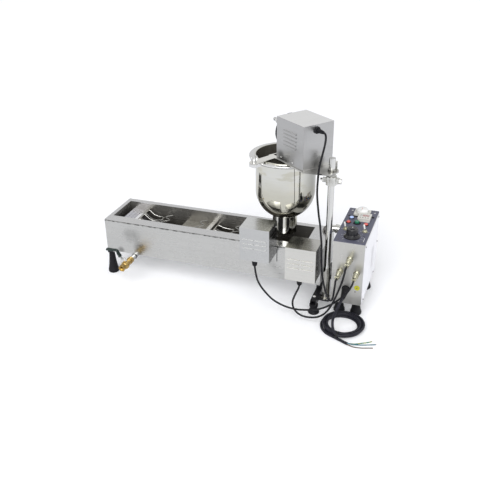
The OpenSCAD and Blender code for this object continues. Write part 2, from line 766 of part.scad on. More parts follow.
// Folded sheet cover, open towards the casing, with three pairs of louvres on its face.
module drive_cover(x, z) {
    rows = 3;
    row_step = 17;
    hood_l = 42;
    hood_r = 3.2;
    hood_gap = 6;
    start = (cover_l - 2 * hood_l - hood_gap) / 2;
    low = cover_h * 0.38;
    translate([x, -standoff - cover_d, z]) {
        difference() {
            cube([cover_l, cover_d, cover_h]);
            translate([cover_t, cover_t, cover_t])
                cube([cover_l - 2 * cover_t, cover_d, cover_h - 2 * cover_t]);
            translate([gland_x, gland_y, -1]) cylinder(d = 12.2, h = cover_t + 2);
            for (i = [0 : rows - 1], j = [0, 1])
                translate([start + j * (hood_l + hood_gap), 0, low + i * row_step]) louvre_slot(hood_l, 2.4);
        }
        for (i = [0 : rows - 1], j = [0, 1])
            translate([start + j * (hood_l + hood_gap), 0, low + i * row_step]) louvre_hood(hood_l, hood_r);
    }
}

gland_x = 49;
gland_y = cover_d + standoff - 75;

module left_drive_cover() place() color(steel) drive_cover(left_cover_x, left_cover_z);

module right_drive_cover() place() color(steel) drive_cover(right_cover_x, right_cover_z);

// Black nut and boot under each drive cover.
module cover_gland(x, z) {
    translate([x + gland_x, -standoff - cover_d + gland_y, z]) {
        translate([0, 0, -6]) cylinder(d = 20, h = 6, $fn = 6);
        translate([0, 0, -eps]) cylinder(d = 12, h = cover_t + 2);
        translate([0, 0, cover_t]) cylinder(d = 17, h = 4, $fn = 6);
    }
}

module cover_glands() place() color(dark) {
    cover_gland(left_cover_x, left_cover_z);
    translate([left_cover_x + gland_x, -standoff - cover_d + gland_y, left_cover_z - 18])
        tapered_boot(cable_d + 3, 14, 12 + eps);
    cover_gland(right_cover_x, right_cover_z);
    translate([right_cover_x + gland_x, -standoff - cover_d + gland_y, right_cover_z - 16])
        tapered_boot(cable_d + 3, 14, 10 + eps);
}

module tapered_boot(d0, d1, h) { cylinder(d1 = d0, d2 = d1, h = h); }

// Feet and frame

// Flared plastic foot with a collar under what it carries.
module foot(h) {
    r = foot_base_d / 2;
    n = foot_neck_d / 2;
    rotate_extrude() polygon([
        [0, 0], [r - 2, 0], [r, 3], [r, h * 0.10 + 2], [r - 3.5, h * 0.28], [n + 2, h * 0.55],
        [n, h * 0.80], [n, h - 8], [n + 4, h - 8], [n + 4, h], [0, h]]);
}

module trough_feet() place() color(dark) {
    for (y = [left_foot_y, trough_w - left_foot_y]) translate([left_foot_x, y, 0]) foot(trough_z);
    for (y = [-foot_out, trough_w + foot_out]) translate([frame_x, y, 0]) foot(frame_top - frame_bar);
}

module control_feet() place() color(dark) {
    for (x = [far_x + 24, control_x1 - 24], y = [control_y0 + 56, control_y1 - 35])
        translate([x, y, 0]) foot(foot_h);
}

// Black steel frame: a bar across under the trough, two uprights and the foot of the post.
module cross_frame() place() color(dark) {
    half = frame_bar / 2;
    difference() {
        union() {
            translate([frame_x - half, -44, frame_top - frame_bar])
                cube([frame_bar, trough_w + 88, frame_bar]);
            for (y = [60, trough_w - 60])
                translate([frame_x - half, y - half, frame_top - eps])
                    cube([frame_bar, frame_bar, trough_z - frame_top + eps]);
            translate([frame_x, post_y - 16, bar_low]) cube([post_x - frame_x + 16, 32, frame_top - bar_low]);
        }
        translate([frame_x - half + 2, -45, frame_top - frame_bar + 2])
            cube([frame_bar - 4, trough_w + 90, frame_bar - 4]);
    }
}

module post_socket() place() color(steel) {
    id = post_d + fit;
    translate([post_x, post_y, frame_top]) {
        rotate_extrude() polygon([
            [id / 2, 0], [post_d / 2 + 2.5, 0], [post_d / 2 + 2.5, socket_h - 32],
            [post_d / 2 + 1, socket_h], [id / 2, socket_h]]);
        difference() {
            cylinder(d = post_d + 16, h = 4);
            translate([0, 0, -1]) cylinder(d = id, h = 6);
        }
    }
}

module post() place() color(bright) {
    translate([post_x, post_y, frame_top]) {
        tube(post_d, post_d - 4, post_top - frame_top - 3);
        translate([0, 0, post_top - frame_top - 3]) cylinder(d = post_d, h = 3);
    }
}

// Split clamp collar that holds the arm's height on the post.
module post_collar() place() color(steel) {
    bore = post_d + fit;
    translate([post_x, post_y, collar_z]) difference() {
        union() {
            cylinder(d = post_d + 15, h = collar_h);
            translate([-30, -7, collar_h / 2 - 7]) cube([30, 14, 14]);
            translate([-38, 0, collar_h / 2]) rotate([0, 90, 0]) cylinder(d = 10, h = 9, $fn = 6);
            translate([0, -9, collar_h / 2 - 9]) cube([25, 18, 18]);
        }
        translate([0, 0, -1]) cylinder(d = bore, h = collar_h + 2);
        translate([-post_d, -1, -1]) cube([post_d, 2, collar_h / 2]);
        translate([14, 0, collar_h / 2]) rotate([0, 90, 0]) cylinder(d = 8 + fit, h = 12);
    }
}

// Round hand knob on the clamp screw.
module clamp_knob() place() color(steel) {
    translate([post_x, post_y, collar_z + collar_h / 2]) rotate([0, 90, 0]) {
        translate([0, 0, 16]) cylinder(d = 8, h = 14);
        translate([0, 0, 26]) difference() {
            cylinder(d = 20, h = 9);
            for (i = [0 : 7]) rotate(i * 45) translate([11.2, 0, -1]) cylinder(d = 5, h = 11, $fn = 16);
        }
    }
}

// Head

// Outline of the arm plate: a tray under the motor box, the bridge over the hopper and its ears.
module arm_outline() {
    half = box_w / 2;
    edge = 4.5;
    union() {
        translate([head_x, head_y]) rotate(box_turn)
            translate([-half - edge, -box_l / 2 - 1]) square([box_w + edge, box_l / 2 + 1 + axis_off + 14]);
        polygon([[head_x + 22, head_y - 104], [post_x + 4, post_y - 43], [post_x + 19, post_y + 12],
            [post_x - 14, post_y + 62], [head_x, head_y]]);
        translate([post_x, post_y]) circle(r = 24);
        translate([hopper_x, hopper_y]) rotate(bridge_turn)
            translate([-ear_r, -bridge_w / 2]) square([2 * ear_r, bridge_w]);
        for (s = [0, 180]) translate([hopper_x, hopper_y]) rotate(bridge_turn + s)
            translate([ear_r, 0]) circle(bridge_w / 2);
    }
}

module arm_plate() place() color(steel) {
    slot_half = (arm_z + arm_t - crank_z + throw + rod_l) * tan(asin(throw / rod_l)) + 9;
    difference() {
        union() {
            translate([0, 0, arm_z]) linear_extrude(arm_t) arm_outline();
            translate([post_x, post_y, arm_z - 16]) cylinder(d = post_d + 7, h = arm_t + 22);
            translate([post_x - 4, post_y + 15, box_z - eps]) cube([17, 17, 24]);
        }
        translate([post_x, post_y, arm_z - 17]) cylinder(d = post_d + fit, h = arm_t + 24);
        head() translate([-slot_half, axis_off - rod_t, arm_z - 1]) cube([2 * slot_half, 2 * rod_t, arm_t + 2]);
        for (s = [0, 180]) at_hopper() rotate([0, 0, bridge_turn + s])
            translate([ear_r, 0, arm_z - 1]) cylinder(d = 8.4, h = arm_t + 2);
    }
}

module motor_box() place() color(steel) {
    rows = 5;
    step = 13;
    hood_l = 70;
    hood_r = 3;
    half = box_w / 2;
    low = 62;
    head() translate([0, 0, box_z]) {
        difference() {
            translate([-half, -box_l / 2, 0]) cube([box_w, box_l, box_h]);
            translate([-half + cover_t, -box_l / 2 + cover_t, -1])
                cube([box_w - 2 * cover_t, box_l - 2 * cover_t, box_h + 1 - cover_t]);
            translate([0, box_l / 2 - 4, crank_z - box_z]) rotate([-90, 0, 0]) cylinder(d = 18, h = 8);
            translate([box_gland_u, -box_l / 2 - 1, box_gland_z]) rotate([-90, 0, 0])
                cylinder(d = 12.2, h = 4);
            for (i = [0 : rows - 1]) translate([-half, -hood_l / 2, low + i * step])
                rotate([0, 0, 90]) louvre_cut(hood_l);
        }
        for (i = [0 : rows - 1]) translate([-half, hood_l / 2, low + i * step])
            rotate([0, 0, -90]) louvre_hood(hood_l, hood_r);
    }
}

box_gland_u = -10;
box_gland_z = 133;

module louvre_cut(l) { translate([0.8, -3, -2.4]) cube([l - 1.6, 6, 2.4]); }

module hopper_gearmotor() place() color([0.45, 0.46, 0.48]) {
    head() {
        translate([-42, box_l / 2 - 117, box_z]) {
            difference() {
                translate([0, 60, 0]) cube([84, 46, 128]);
                translate([42, 92, crank_z - box_z]) rotate([-90, 0, 0]) cylinder(d = 12 + fit, h = 16);
            }
        }
        translate([0, box_l / 2 - 57 + eps, box_z + 62]) rotate([90, 0, 0]) cylinder(d = 86, h = 84);
    }
}

// Nut and boot of the cable that feeds the head.
module motor_box_gland() place() color(dark) {
    head() translate([box_gland_u, -box_l / 2, box_z + box_gland_z]) rotate([90, 0, 0]) {
        cylinder(d = 22, h = 8, $fn = 6);
        translate([0, 0, -3]) cylinder(d = 12, h = 4);
        translate([0, 0, -6]) cylinder(d = 18, h = 6 - cover_t, $fn = 6);
        translate([0, 0, 8 - eps]) cylinder(d1 = 16, d2 = cable_d + 3, h = 27);
    }
}

// Polished hopper: straight wall, round bottom and neck, turned in one profile.
module hopper_bowl() place() color(bright) {
    neck_r = neck_d / 2;
    meet = bowl_z - sqrt(bowl_r * bowl_r - neck_r * neck_r);
    inner = bowl_r - hopper_t;
    at_hopper() rotate_extrude($fn = 96) difference() {
        union() {
            translate([0, neck_z]) square([neck_r, meet - neck_z + 4]);
            translate([0, bowl_z]) square([bowl_r, mouth_z - lip_t - bowl_z]);
            translate([0, mouth_z - lip_t]) square([bowl_r + 4, lip_t]);
            intersection() {
                translate([0, bowl_z]) circle(bowl_r);
                translate([0, meet - 20]) square([bowl_r, bowl_z - meet + 20]);
            }
        }
        translate([-1, neck_z - 1]) square([neck_r - hopper_t + 1, meet - neck_z + 8]);
        translate([-1, bowl_z - eps]) square([inner + 1, mouth_z - bowl_z + 1]);
        intersection() {
            translate([0, bowl_z]) circle(inner);
            translate([-1, meet]) square([bowl_r, bowl_z - meet + eps]);
        }
        translate([-bowl_r - 1, neck_z - 30]) square([bowl_r + 1, mouth_z]);
    }
}

// Carrying ring with two ears that hang from the arm plate.
module hopper_ring() place() color(steel) {
    top = mouth_z - lip_t;
    at_hopper() difference() {
        union() {
            rotate_extrude($fn = 96) polygon([
                [bowl_r + touch, top - ring_t], [ring_r - 3, top - ring_t], [ring_r, top - ring_t + 3],
                [ring_r, top - 2], [ring_r - 2, top], [bowl_r + touch, top]]);
            for (s = [0, 180]) rotate([0, 0, bridge_turn + s]) translate([ear_r - 28, 0, top - ring_t]) {
                translate([0, -bridge_w / 2, 0]) cube([28, bridge_w, ring_t + lip_t]);
                translate([28, 0, 0]) cylinder(d = bridge_w, h = ring_t + lip_t);
            }
        }
        translate([0, 0, top - ring_t - 1]) cylinder(r = bowl_r + touch, h = ring_t - lip_t + lip_t + 1);
        translate([0, 0, top]) cylinder(r = bowl_r + 4 + touch, h = lip_t + 1);
        for (s = [0, 180]) rotate([0, 0, bridge_turn + s])
            translate([ear_r, 0, top - ring_t - 1]) cylinder(d = 8.4, h = ring_t + lip_t + 2);
    }
}

// Wing bolts through the arm plate and the ring's ears.
module wing_bolts() place() color(bright) {
    for (s = [0, 180]) at_hopper() rotate([0, 0, bridge_turn + s]) translate([ear_r, 0, 0]) {
        translate([0, 0, mouth_z - 20]) cylinder(d = 8, h = 34);
        translate([0, 0, mouth_z - lip_t - ring_t - 6]) cylinder(d = 14, h = 6 - touch / 2, $fn = 6);
        translate([0, 0, box_z]) cylinder(d = 15, h = 8);
        for (a = [-1, 1]) translate([a * 5, 0, box_z + 6]) rotate([0, a * 28, 0])
            translate([-3, -1.5, 0]) cube([7, 3, 17]);
    }
}

// Nozzle in the neck: a thick ring, and a core on three vanes that leaves the donut's hole.
module forming_nozzle() place() color(bright) {
    bore = piston_d + 0.5;
    od = neck_d - 2 * hopper_t - 2 * fit;
    at_hopper() translate([0, 0, neck_z]) {
        difference() {
            union() {
                cylinder(d = od, h = 62);
                translate([0, 0, -2]) cylinder(d = neck_d, h = 2);
            }
            translate([0, 0, -3]) cylinder(d = bore, h = 50);
            translate([0, 0, 46]) cylinder(d1 = bore, d2 = od - 2, h = 17);
        }
        cylinder(d = 26, h = 6);
        for (i = [0 : 2]) rotate([0, 0, i * 120]) translate([12, -1, 0]) cube([bore / 2 - 11.5, 2, 6]);
    }
}

// Black crank disc on the gear motor's shaft, with the stub of its pin.
module crank_disc() place() color(dark) {
    head() translate([0, box_l / 2, crank_z]) {
        translate([0, crank_gap, 0]) rotate([-90, 0, 0]) {
            difference() {
                cylinder(d = crank_d, h = crank_t, $fn = 96);
                rotate([0, 0, -pin_angle]) translate([16, -5, 2]) cube([throw - 28, 10, crank_t]);
            }
            cylinder(d = 24, h = crank_t + 6);
        }
        translate([0, -20, 0]) rotate([-90, 0, 0]) cylinder(d = 12, h = 20 + crank_gap + 1);
        translate([pin_u, crank_gap, pin_z - crank_z]) rotate([-90, 0, 0])
            cylinder(d = 12, h = axis_off - box_l / 2 - rod_t / 2 - crank_gap - 0.4);
    }
}

// Flat rod with an eye at each end, and the pin nut that stands proud of the disc.
module connecting_rod() place() color(steel) {
    lean = atan2(pin_z - joint_z, pin_u);
    head() translate([0, axis_off + rod_t / 2, joint_z]) rotate([90, 0, 0]) difference() {
        union() {
            linear_extrude(rod_t) union() {
                circle(9);
                rotate(lean) translate([rod_l, 0]) circle(10);
                rotate(lean) translate([0, -6]) square([rod_l, 12]);
            }
            rotate(lean) translate([rod_l, 0, -20]) cylinder(d = 8, h = 21);
            for (z = [-19, -8]) rotate(lean) translate([rod_l, 0, z]) cylinder(d = 14, h = 8 + eps, $fn = 6);
        }
        translate([0, 0, -1]) cylinder(d = 8 + fit, h = rod_t + 2);
    }
}

// Plunger: fork and pin at the top, rod, and the piston that presses the batter out.
module plunger() place() color(bright) {
    fork_w = 6;
    gap = rod_t + 2 * touch;
    piston_z = neck_z + 14 + joint_z - crank_z + throw + rod_l;
    head() {
        for (s = [-1, 1]) translate([-8, axis_off + s * (gap / 2 + fork_w / 2) - fork_w / 2, joint_z - 22])
            cube([16, fork_w, 34]);
        translate([-8, axis_off - gap / 2 - fork_w, joint_z - 28]) cube([16, gap + 2 * fork_w, 10]);
        translate([0, axis_off - gap / 2 - fork_w - 2, joint_z]) rotate([-90, 0, 0])
            cylinder(d = 8, h = gap + 2 * fork_w + 4);
        translate([0, axis_off, piston_z]) {
            cylinder(d = 12, h = joint_z - 20 - piston_z);
            cylinder(d = piston_d, h = 22);
            translate([0, 0, -6]) cylinder(d1 = 30, d2 = piston_d - 6, h = 6 + eps);
        }
    }
}

// Drain

module drain_pipe() place() color(bright) {
    bend = 12;
    top = tank_floor - sheet;
    difference() {
        bent_rod([[drain_x, drain_bend_y, top], [drain_x, drain_bend_y, drain_z],
            [drain_x, -drain_l, drain_z]], bend, drain_d);
        bent_rod([[drain_x, drain_bend_y, top + 1], [drain_x, drain_bend_y, drain_z],
            [drain_x, -drain_l - 1, drain_z]], bend, drain_d - 4);
    }
}

stem_y = -drain_l - 36;

// Brass ball valve: two hexagon ends, a round middle and the stem's boss.
module valve_body() place() color(brass) {
    socket = 12;
    hex_d = 27.7;
    translate([drain_x, -drain_l, drain_z]) rotate([90, 0, 0]) difference() {
        union() {
            translate([0, 0, -socket]) cylinder(d = 26, h = socket + 4);
            translate([0, 0, -6]) cylinder(d = hex_d, h = 14, $fn = 6);
            cylinder(d = 24, h = valve_l - 4);
            translate([0, 0, 36]) sphere(d = 33);
            translate([0, 0, valve_l - 12]) cylinder(d = hex_d, h = 12, $fn = 6);
            translate([0, 0, 36]) rotate([-90, 0, 0]) cylinder(d = 14, h = 21);
        }
        translate([0, 0, -socket - 1]) cylinder(d = drain_d + fit, h = socket + 1);
        translate([0, 0, -1]) cylinder(d = 14, h = valve_l + 2);
        translate([0, 0, valve_l - 15]) cylinder(d = outlet_d, h = 16);
        translate([0, 0, 36]) sphere(d = 24.6);
        translate([0, 0, 36]) rotate([-90, 0, 0]) cylinder(d = 8 + fit, h = 26);
    }
}

// Ball, stem and cranked lever of the drain valve; the lever points along the trough when shut.
module valve_lever() place() color(steel) {
    top = drain_z + 21 + touch;
    slope = 60;
    rise = 38;
    run = rise / tan(slope);
    grip = lever_l - 12 - run;
    translate([drain_x, stem_y, 0]) {
        translate([0, 0, drain_z]) difference() {
            sphere(d = 24);
            rotate([0, 90, 0]) cylinder(d = 14, h = 30, center = true);
        }
        translate([0, 0, drain_z + 10.5]) cylinder(d = 8, h = 22);
        translate([0, 0, top + 3 - eps]) cylinder(d = 13, h = 5, $fn = 6);
        translate([0, 0, top]) {
            cylinder(d = 16, h = 3);
            translate([-14, -6, 0]) cube([14, 12, 3]);
        }
        translate([-12, -5, top + 0.2]) rotate([0, slope, 0])
            translate([-rise / sin(slope), 0, 0]) cube([rise / sin(slope), 10, 3]);
        translate([-12 - run, 0, top + rise]) rotate([0, -90, 0]) grip_bar(grip);
    }
}

// Flat bar in a dipped sleeve with round edges.
module grip_bar(l) {
    translate([0, 0, -4]) linear_extrude(l + 4) union() {
        translate([-3, -5]) square([6, 10]);
        for (y = [-5, 5]) translate([0, y]) circle(3);
    }
}

// Control box

module control_box() place() color(steel) {
    t = sheet;
    difference() {
        translate([far_x, control_y0, foot_h]) cube([control_w, control_d, control_h - panel_t]);
        translate([far_x + t, control_y0 + t, foot_h + t])
            cube([control_w - 2 * t, control_d - 2 * t, control_h]);
        translate([control_x1 - t - 1, control_y0 + 14, foot_h + 14])
            cube([t + 2, control_d - 28, control_h - panel_t - 28]);
        for (c = connector_places)
            translate([c[0], control_y0 - 1, c[1]]) rotate([-90, 0, 0]) cylinder(d = 14.2, h = t + 2);
        translate([relief_x, control_y0 - 1, relief_z]) rotate([-90, 0, 0]) cylinder(d = 16.2, h = t + 2);
    }
}

connector_places = [[far_x + 61, foot_h + 180], [far_x + 29, foot_h + 126], [far_x + 88, foot_h + 127]];
relief_x = far_x + 54;
relief_z = foot_h + 60;

dial_x = far_x + 54;
dial_y = control_y1 - 38;
dial_w = 58;
meter_x = far_x + 71;
meter_y = control_y0 + 171.5;
meter_w = 46;
button_x = far_x + 51;
button_y = control_y0 + 157;
toggle_places = [[far_x + 22, control_y0 + 96], [control_x1 - 19, control_y0 + 95]];
lamp_places = [[far_x + 20, control_y0 + 154], [control_x1 - 26, control_y0 + 151], [far_x + 24, control_y0 + 193]];
knob_x = far_x + 55;
knob_y = control_y0 + 46;

module control_panel() place() color(slate) {
    difference() {
        translate([far_x, control_y0, control_top - panel_t]) round_plate(control_w, control_d, panel_t, 3);
        translate([button_x, button_y - 2, control_top - panel_t - 1]) cylinder(d = 20.2, h = panel_t + 2);
        for (p = toggle_places)
            translate([p[0], p[1], control_top - panel_t - 1]) cylinder(d = 12.2, h = panel_t + 2);
        for (p = lamp_places)
            translate([p[0], p[1], control_top - panel_t - 1]) cylinder(d = 14.2, h = panel_t + 2);
        translate([knob_x, knob_y, control_top - panel_t - 1]) cylinder(d = 10.2, h = panel_t + 2);
        translate([dial_x, dial_y, control_top - panel_t - 1]) cylinder(d = 10.2, h = panel_t + 2);
    }
}

// Removable cover on the far end with a block of ventilation louvres.
module control_side_cover() place() color(white) {
    rows = 9;
    hood_l = 60;
    step = 10;
    translate([control_x1, control_y0 + 4, foot_h + 3]) difference() {
        cube([side_cover_t, control_d - 8, control_h - panel_t - 6]);
        for (i = [0 : rows - 1])
            translate([-1, 150, 60 + i * step]) cube([side_cover_t + 2, hood_l, 2.4]);
    }
}

// Temperature controller with its display and keys, and the base of the thermostat dial.
module panel_instruments() place() color(white) {
    half = meter_w / 2;
    translate([meter_x - half, meter_y, control_top]) {
        translate([1.5, 1.5, 0]) round_plate(meter_w - 3, meter_w - 3, 9 + eps, 2);
        difference() {
            translate([0, 0, 9]) round_plate(meter_w, meter_w, 5, 2);
            translate([6, 18, 12.6]) cube([meter_w - 12, 20, 2]);
            for (i = [0 : 3]) translate([9 + i * 9.4, 9, 13]) cylinder(d = 5, h = 2, $fn = 24);
        }
    }
    translate([dial_x - dial_w / 2, dial_y - dial_w / 2 + 4, control_top]) round_plate(dial_w, dial_w - 8, 6, 3);
}

// Broad white dial with a pointer ridge.
module dial_knob() place() color(white) {
    translate([dial_x, dial_y, control_top + 6 + touch]) {
        rotate_extrude() polygon([[0, 0], [21, 0], [22, 2], [21, 9], [17, 15], [8, 17.5], [0, 18]]);
        translate([-2, -20, 14]) cube([4, 18, 5]);
    }
}

// Lamps, the ring of the button and the bushes of the toggles.
module panel_fittings() place() color([0.75, 0.74, 0.70]) {
    for (i = [0 : 2]) translate([lamp_places[i][0], lamp_places[i][1], control_top]) {
        cylinder(d = 20, h = 2.5);
        translate([0, 0, -panel_t - 5]) cylinder(d = 14, h = panel_t + 5 + eps);
        translate([0, 0, 2.5 - eps]) cylinder(d1 = 16, d2 = 12, h = 5);
    }
    translate([button_x, button_y - 2, control_top]) difference() {
        union() {
            cylinder(d = 27, h = 3.5);
            translate([0, 0, -panel_t - 6]) cylinder(d = 20, h = panel_t + 6 + eps);
        }
        translate([0, 0, -panel_t - 4]) cylinder(d = 17 + 2 * touch, h = panel_t + 9);
    }
    for (p = toggle_places) translate([p[0], p[1], control_top]) difference() {
        union() {
            cylinder(d = 17, h = 3, $fn = 6);
            translate([0, 0, -panel_t - 8]) cylinder(d = 12, h = panel_t + 17);
        }
        translate([0, 0, 1]) cylinder(d1 = 7, d2 = 9.6, h = 9);
        translate([0, 0, 3]) sphere(d = 8.6);
    }
}

module start_button() place() color([0.10, 0.45, 0.30]) {
    translate([button_x, button_y - 2, control_top - 2]) rotate_extrude()
        polygon([[0, 0], [8.5, 0], [8.5, 10], [7.5, 12], [0, 13]]);
}

// Toggle lever: ball in the bush, tapered stick and white tip.
module toggle(p, tilt) {
    translate([p[0], p[1], control_top + 3]) rotate([0, tilt, 0]) {
        sphere(d = 7);
        cylinder(d1 = 3.4, d2 = 6, h = 23);
        translate([0, 0, 23]) sphere(d = 6);
    }
}

module left_toggle() place() color(white) toggle(toggle_places[0], -12);

module right_toggle() place() color(white) toggle(toggle_places[1], -12);

// Skirted speed knob with finger flutes and a raised cap.
module speed_knob() place() color(dark) {
    r = knob_d / 2;
    flutes = 12;
    translate([knob_x, knob_y, control_top + touch]) {
        difference() {
            rotate_extrude() polygon([[0, 0], [r, 0], [r, 3], [r - 7, 9], [r - 8, 11],
                [r - 9, 30], [r - 11, 32], [0, 32]]);
            for (i = [0 : flutes - 1]) rotate([0, 0, i * 360 / flutes])
                translate([r - 6.2, 0, 10]) cylinder(d = 6, h = 30, $fn = 20);
        }
        translate([0, 0, -panel_t - touch - 4]) cylinder(d = 10, h = panel_t + 5);
        translate([0, 0, 32 - eps]) cylinder(d = 20, h = 1.5);
    }
}

// Round metal connector: flange, ring, body and clamp, along -Y.
module connector() {
    rotate([90, 0, 0]) {
        translate([0, 0, -8]) cylinder(d = 14, h = 8 + eps);
        cylinder(d = 24, h = 3);
        translate([0, 0, 3 - eps]) cylinder(d = 18, h = 7);
        translate([0, 0, 10 - eps]) cylinder(d = 21, h = 15);
        translate([0, 0, 25 - eps]) cylinder(d = 17, h = 18);
        translate([0, 0, 43 - eps]) cylinder(d = 13, h = 12);
    }
}

module cable_connectors() place() color([0.80, 0.79, 0.70]) {
    for (c = connector_places) translate([c[0], control_y0, c[1]]) connector();
}

// Mains strain relief: flange, ribbed and tapered boot that droops a little.
module strain_relief() place() color(dark) {
    droop = 8.3;
    translate([relief_x, control_y0, relief_z]) rotate([90, 0, 0]) {
        translate([0, 0, -6]) cylinder(d = 16, h = 7);
        cylinder(d = 30, h = 4);
        translate([0, 0, 2]) rotate([droop, 0, 0]) cylinder(d1 = 26, d2 = mains_d + 5, h = 53.5);
    }
}

// Stepped terminal tube from the control box over the tank's end, and the clamp of the heater's legs.
module heater_terminal() place() color(steel) {
    translate([far_x, terminal_y, terminal_z]) rotate([0, -90, 0]) {
        cylinder(d = 40, h = 4);
        translate([0, 0, 4 - eps]) cylinder(d = 34, h = 16);
        translate([0, 0, 20 - 2 * eps]) cylinder(d = 29, h = 5);
        translate([0, 0, 25 - 3 * eps]) cylinder(d = 34, h = 13);
        translate([0, 0, 38 - 4 * eps]) cylinder(d = 26, h = terminal_l - 38 + 4 * eps);
    }
}

module heater_clamp() place() color(dark) {
    clamp_l = 12;
    difference() {
        translate([far_x - terminal_l - 5 - clamp_l, heater_ends[1] - 9, rim_z])
            cube([clamp_l, 32, terminal_z - rim_z + 8]);
        for (y = heater_ends) translate([far_x - terminal_l - 6 - clamp_l, y, terminal_z])
            rotate([0, 90, 0]) cylinder(d = heater_d + fit, h = clamp_l + 2);
    }
}

// Cables

module cable(route, d, sides, steps) place() color(dark) swept_tube(smooth(route, steps), d, sides);

module hopper_cable_upper() cable(hopper_upper_route, cable_d, 8, 1);

module hopper_cable_lower() cable(hopper_lower_route, cable_d, 8, 1);

module left_cable() cable(left_route, cable_d, 8, 1);

module right_cable() cable(right_route, cable_d, 8, 1);

// Coil: the top layer winds in, drops a layer in half a turn, and the bottom layer winds out.
layer_deg = coil_turns * 360;
coil_total = 2 * layer_deg + 180;
function coil_in(a) = coil_r - coil_step * a / 360;
function coil_radius(a) = a < layer_deg ? coil_in(a)
    : a < layer_deg + 180 ? coil_in(layer_deg)
    : coil_in(coil_total - a);
function coil_height(a) = a < layer_deg ? coil_low_z + coil_rise
    : a < layer_deg + 180 ? coil_low_z + coil_rise * (1 - (a - layer_deg) / 180)
    : coil_low_z;
function coil_point(a) = [coil_x + coil_radius(a) * cos(coil_start + a),
    coil_y + coil_radius(a) * sin(coil_start + a), coil_height(a)];
function coil_heading(a) = unit(coil_point(a + 0.5) - coil_point(a - 0.5));
coil_count = floor(coil_total / 360 * coil_rings);
coil_path = let (
    turns = [for (i = [0 : coil_count]) coil_point(i * coil_total / coil_count)],
    first = turns[0] - unit(turns[1] - turns[0]) * mains_d,
    last = turns[coil_count] + unit(turns[coil_count] - turns[coil_count - 1]) * mains_d)
    concat([first], turns, [last]);

// Least gap between stretches of the coil that are not neighbours along the cord.
coil_gap = min([for (i = [0 : len(coil_path) - 1], j = [i + 6 : 1 : len(coil_path) - 1])
    norm(coil_path[i] - coil_path[j])]) - mains_d;
echo(least_coil_gap = coil_gap);

coil_end = coil_path[len(coil_path) - 1];
tail_way = unit(coil_end - coil_path[len(coil_path) - 2]);
jacket_end = coil_end + tail_way * tail_l;

module mains_lead() place() color(dark) {
    swept_tube(concat(smooth(mains_route, 1), [coil_path[0]]), mains_d, 8);
    swept_tube([coil_end, coil_end + tail_way * tail_l / 2, jacket_end], mains_d, 8);
}

module mains_coil() place() color(dark) swept_tube(coil_path, mains_d, coil_sides);

// Bare ends of the three conductors, fanned out on the floor.
module mains_wires() place() color([0.25, 0.55, 0.55]) {
    side = cross([0, 0, 1], tail_way) * 2.8;
    starts = [side, [0, 0, 2.8], -side];
    for (i = [0 : 2]) swept_tube([for (p = wire_routes[i]) jacket_end - tail_way + starts[i] + p],
        wire_d_bare, 6);
}

trough_casing();
oil_tank();
drain_tray();
turning_plate();
heating_element();
conveyor_chain();
conveyor_flights();
shaft_bushes();
idler_sprocket();
drive_sprocket();
turner_scoop();
discharge_scoop();
drive_arm();
link_rod();
drive_gearmotors();
left_drive_cover();
right_drive_cover();
cover_glands();
trough_feet();
control_feet();
cross_frame();
post_socket();
post();
post_collar();
clamp_knob();
arm_plate();
motor_box();
hopper_gearmotor();
motor_box_gland();
hopper_bowl();
hopper_ring();
wing_bolts();
forming_nozzle();
crank_disc();
connecting_rod();
plunger();
drain_pipe();
valve_body();
valve_lever();
control_box();
control_panel();
control_side_cover();
panel_instruments();
dial_knob();
panel_fittings();
start_button();
left_toggle();
right_toggle();
speed_knob();
cable_connectors();
strain_relief();
heater_terminal();
heater_clamp();
hopper_cable_upper();
hopper_cable_lower();
left_cable();
right_cable();
mains_lead();
mains_coil();
mains_wires();
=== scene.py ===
"""Looks of an automatic donut machine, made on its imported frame.

Sizes in the classes are millimetres in the machine's own coordinates: X runs along the trough from
its discharge end, Y runs away from the side with the drive covers, and Z goes up from the floor.
A profile is a row of points of radius and height, and a third number is the depth of its flutes.
"""

import logging
import math
from collections.abc import Callable, Iterable, Sequence
from dataclasses import dataclass
from enum import Enum
from functools import cache

import bmesh
import bpy
from mathutils import Matrix, Vector, geometry


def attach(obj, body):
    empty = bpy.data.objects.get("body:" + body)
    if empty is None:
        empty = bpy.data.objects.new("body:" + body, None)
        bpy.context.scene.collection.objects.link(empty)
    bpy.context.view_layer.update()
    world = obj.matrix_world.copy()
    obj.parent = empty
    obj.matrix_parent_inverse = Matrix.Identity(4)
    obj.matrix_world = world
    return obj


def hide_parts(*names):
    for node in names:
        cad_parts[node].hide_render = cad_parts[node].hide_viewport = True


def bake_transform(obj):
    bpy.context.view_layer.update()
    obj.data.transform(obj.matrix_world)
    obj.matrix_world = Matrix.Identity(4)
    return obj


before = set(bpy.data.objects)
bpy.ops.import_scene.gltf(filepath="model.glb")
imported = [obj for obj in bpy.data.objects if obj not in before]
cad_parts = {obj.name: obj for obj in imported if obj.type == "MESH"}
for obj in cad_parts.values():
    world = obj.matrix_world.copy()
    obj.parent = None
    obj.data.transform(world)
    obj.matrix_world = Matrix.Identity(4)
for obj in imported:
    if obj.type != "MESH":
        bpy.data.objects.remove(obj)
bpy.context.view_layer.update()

Point = tuple[float, float, float]
Colour = tuple[float, float, float]
Pair = tuple[float, float]
Profile = Sequence[tuple[float, ...]]

LOG = logging.getLogger("donut_machine")
MM = 0.001
ORIGIN = Vector((516.25, 79.5, 0.0))
UP, DOWN = (0, 0, 1), (0, 0, -1)
FRONT, REAR = (0, -1, 0), (0, 1, 0)
LEFT, RIGHT = (-1, 0, 0), (1, 0, 0)
HOPPER_AXIS = (709.86, 116.33)
HEAD_AXIS = (793.0, 53.0)
HEAD_TURN = 52.7


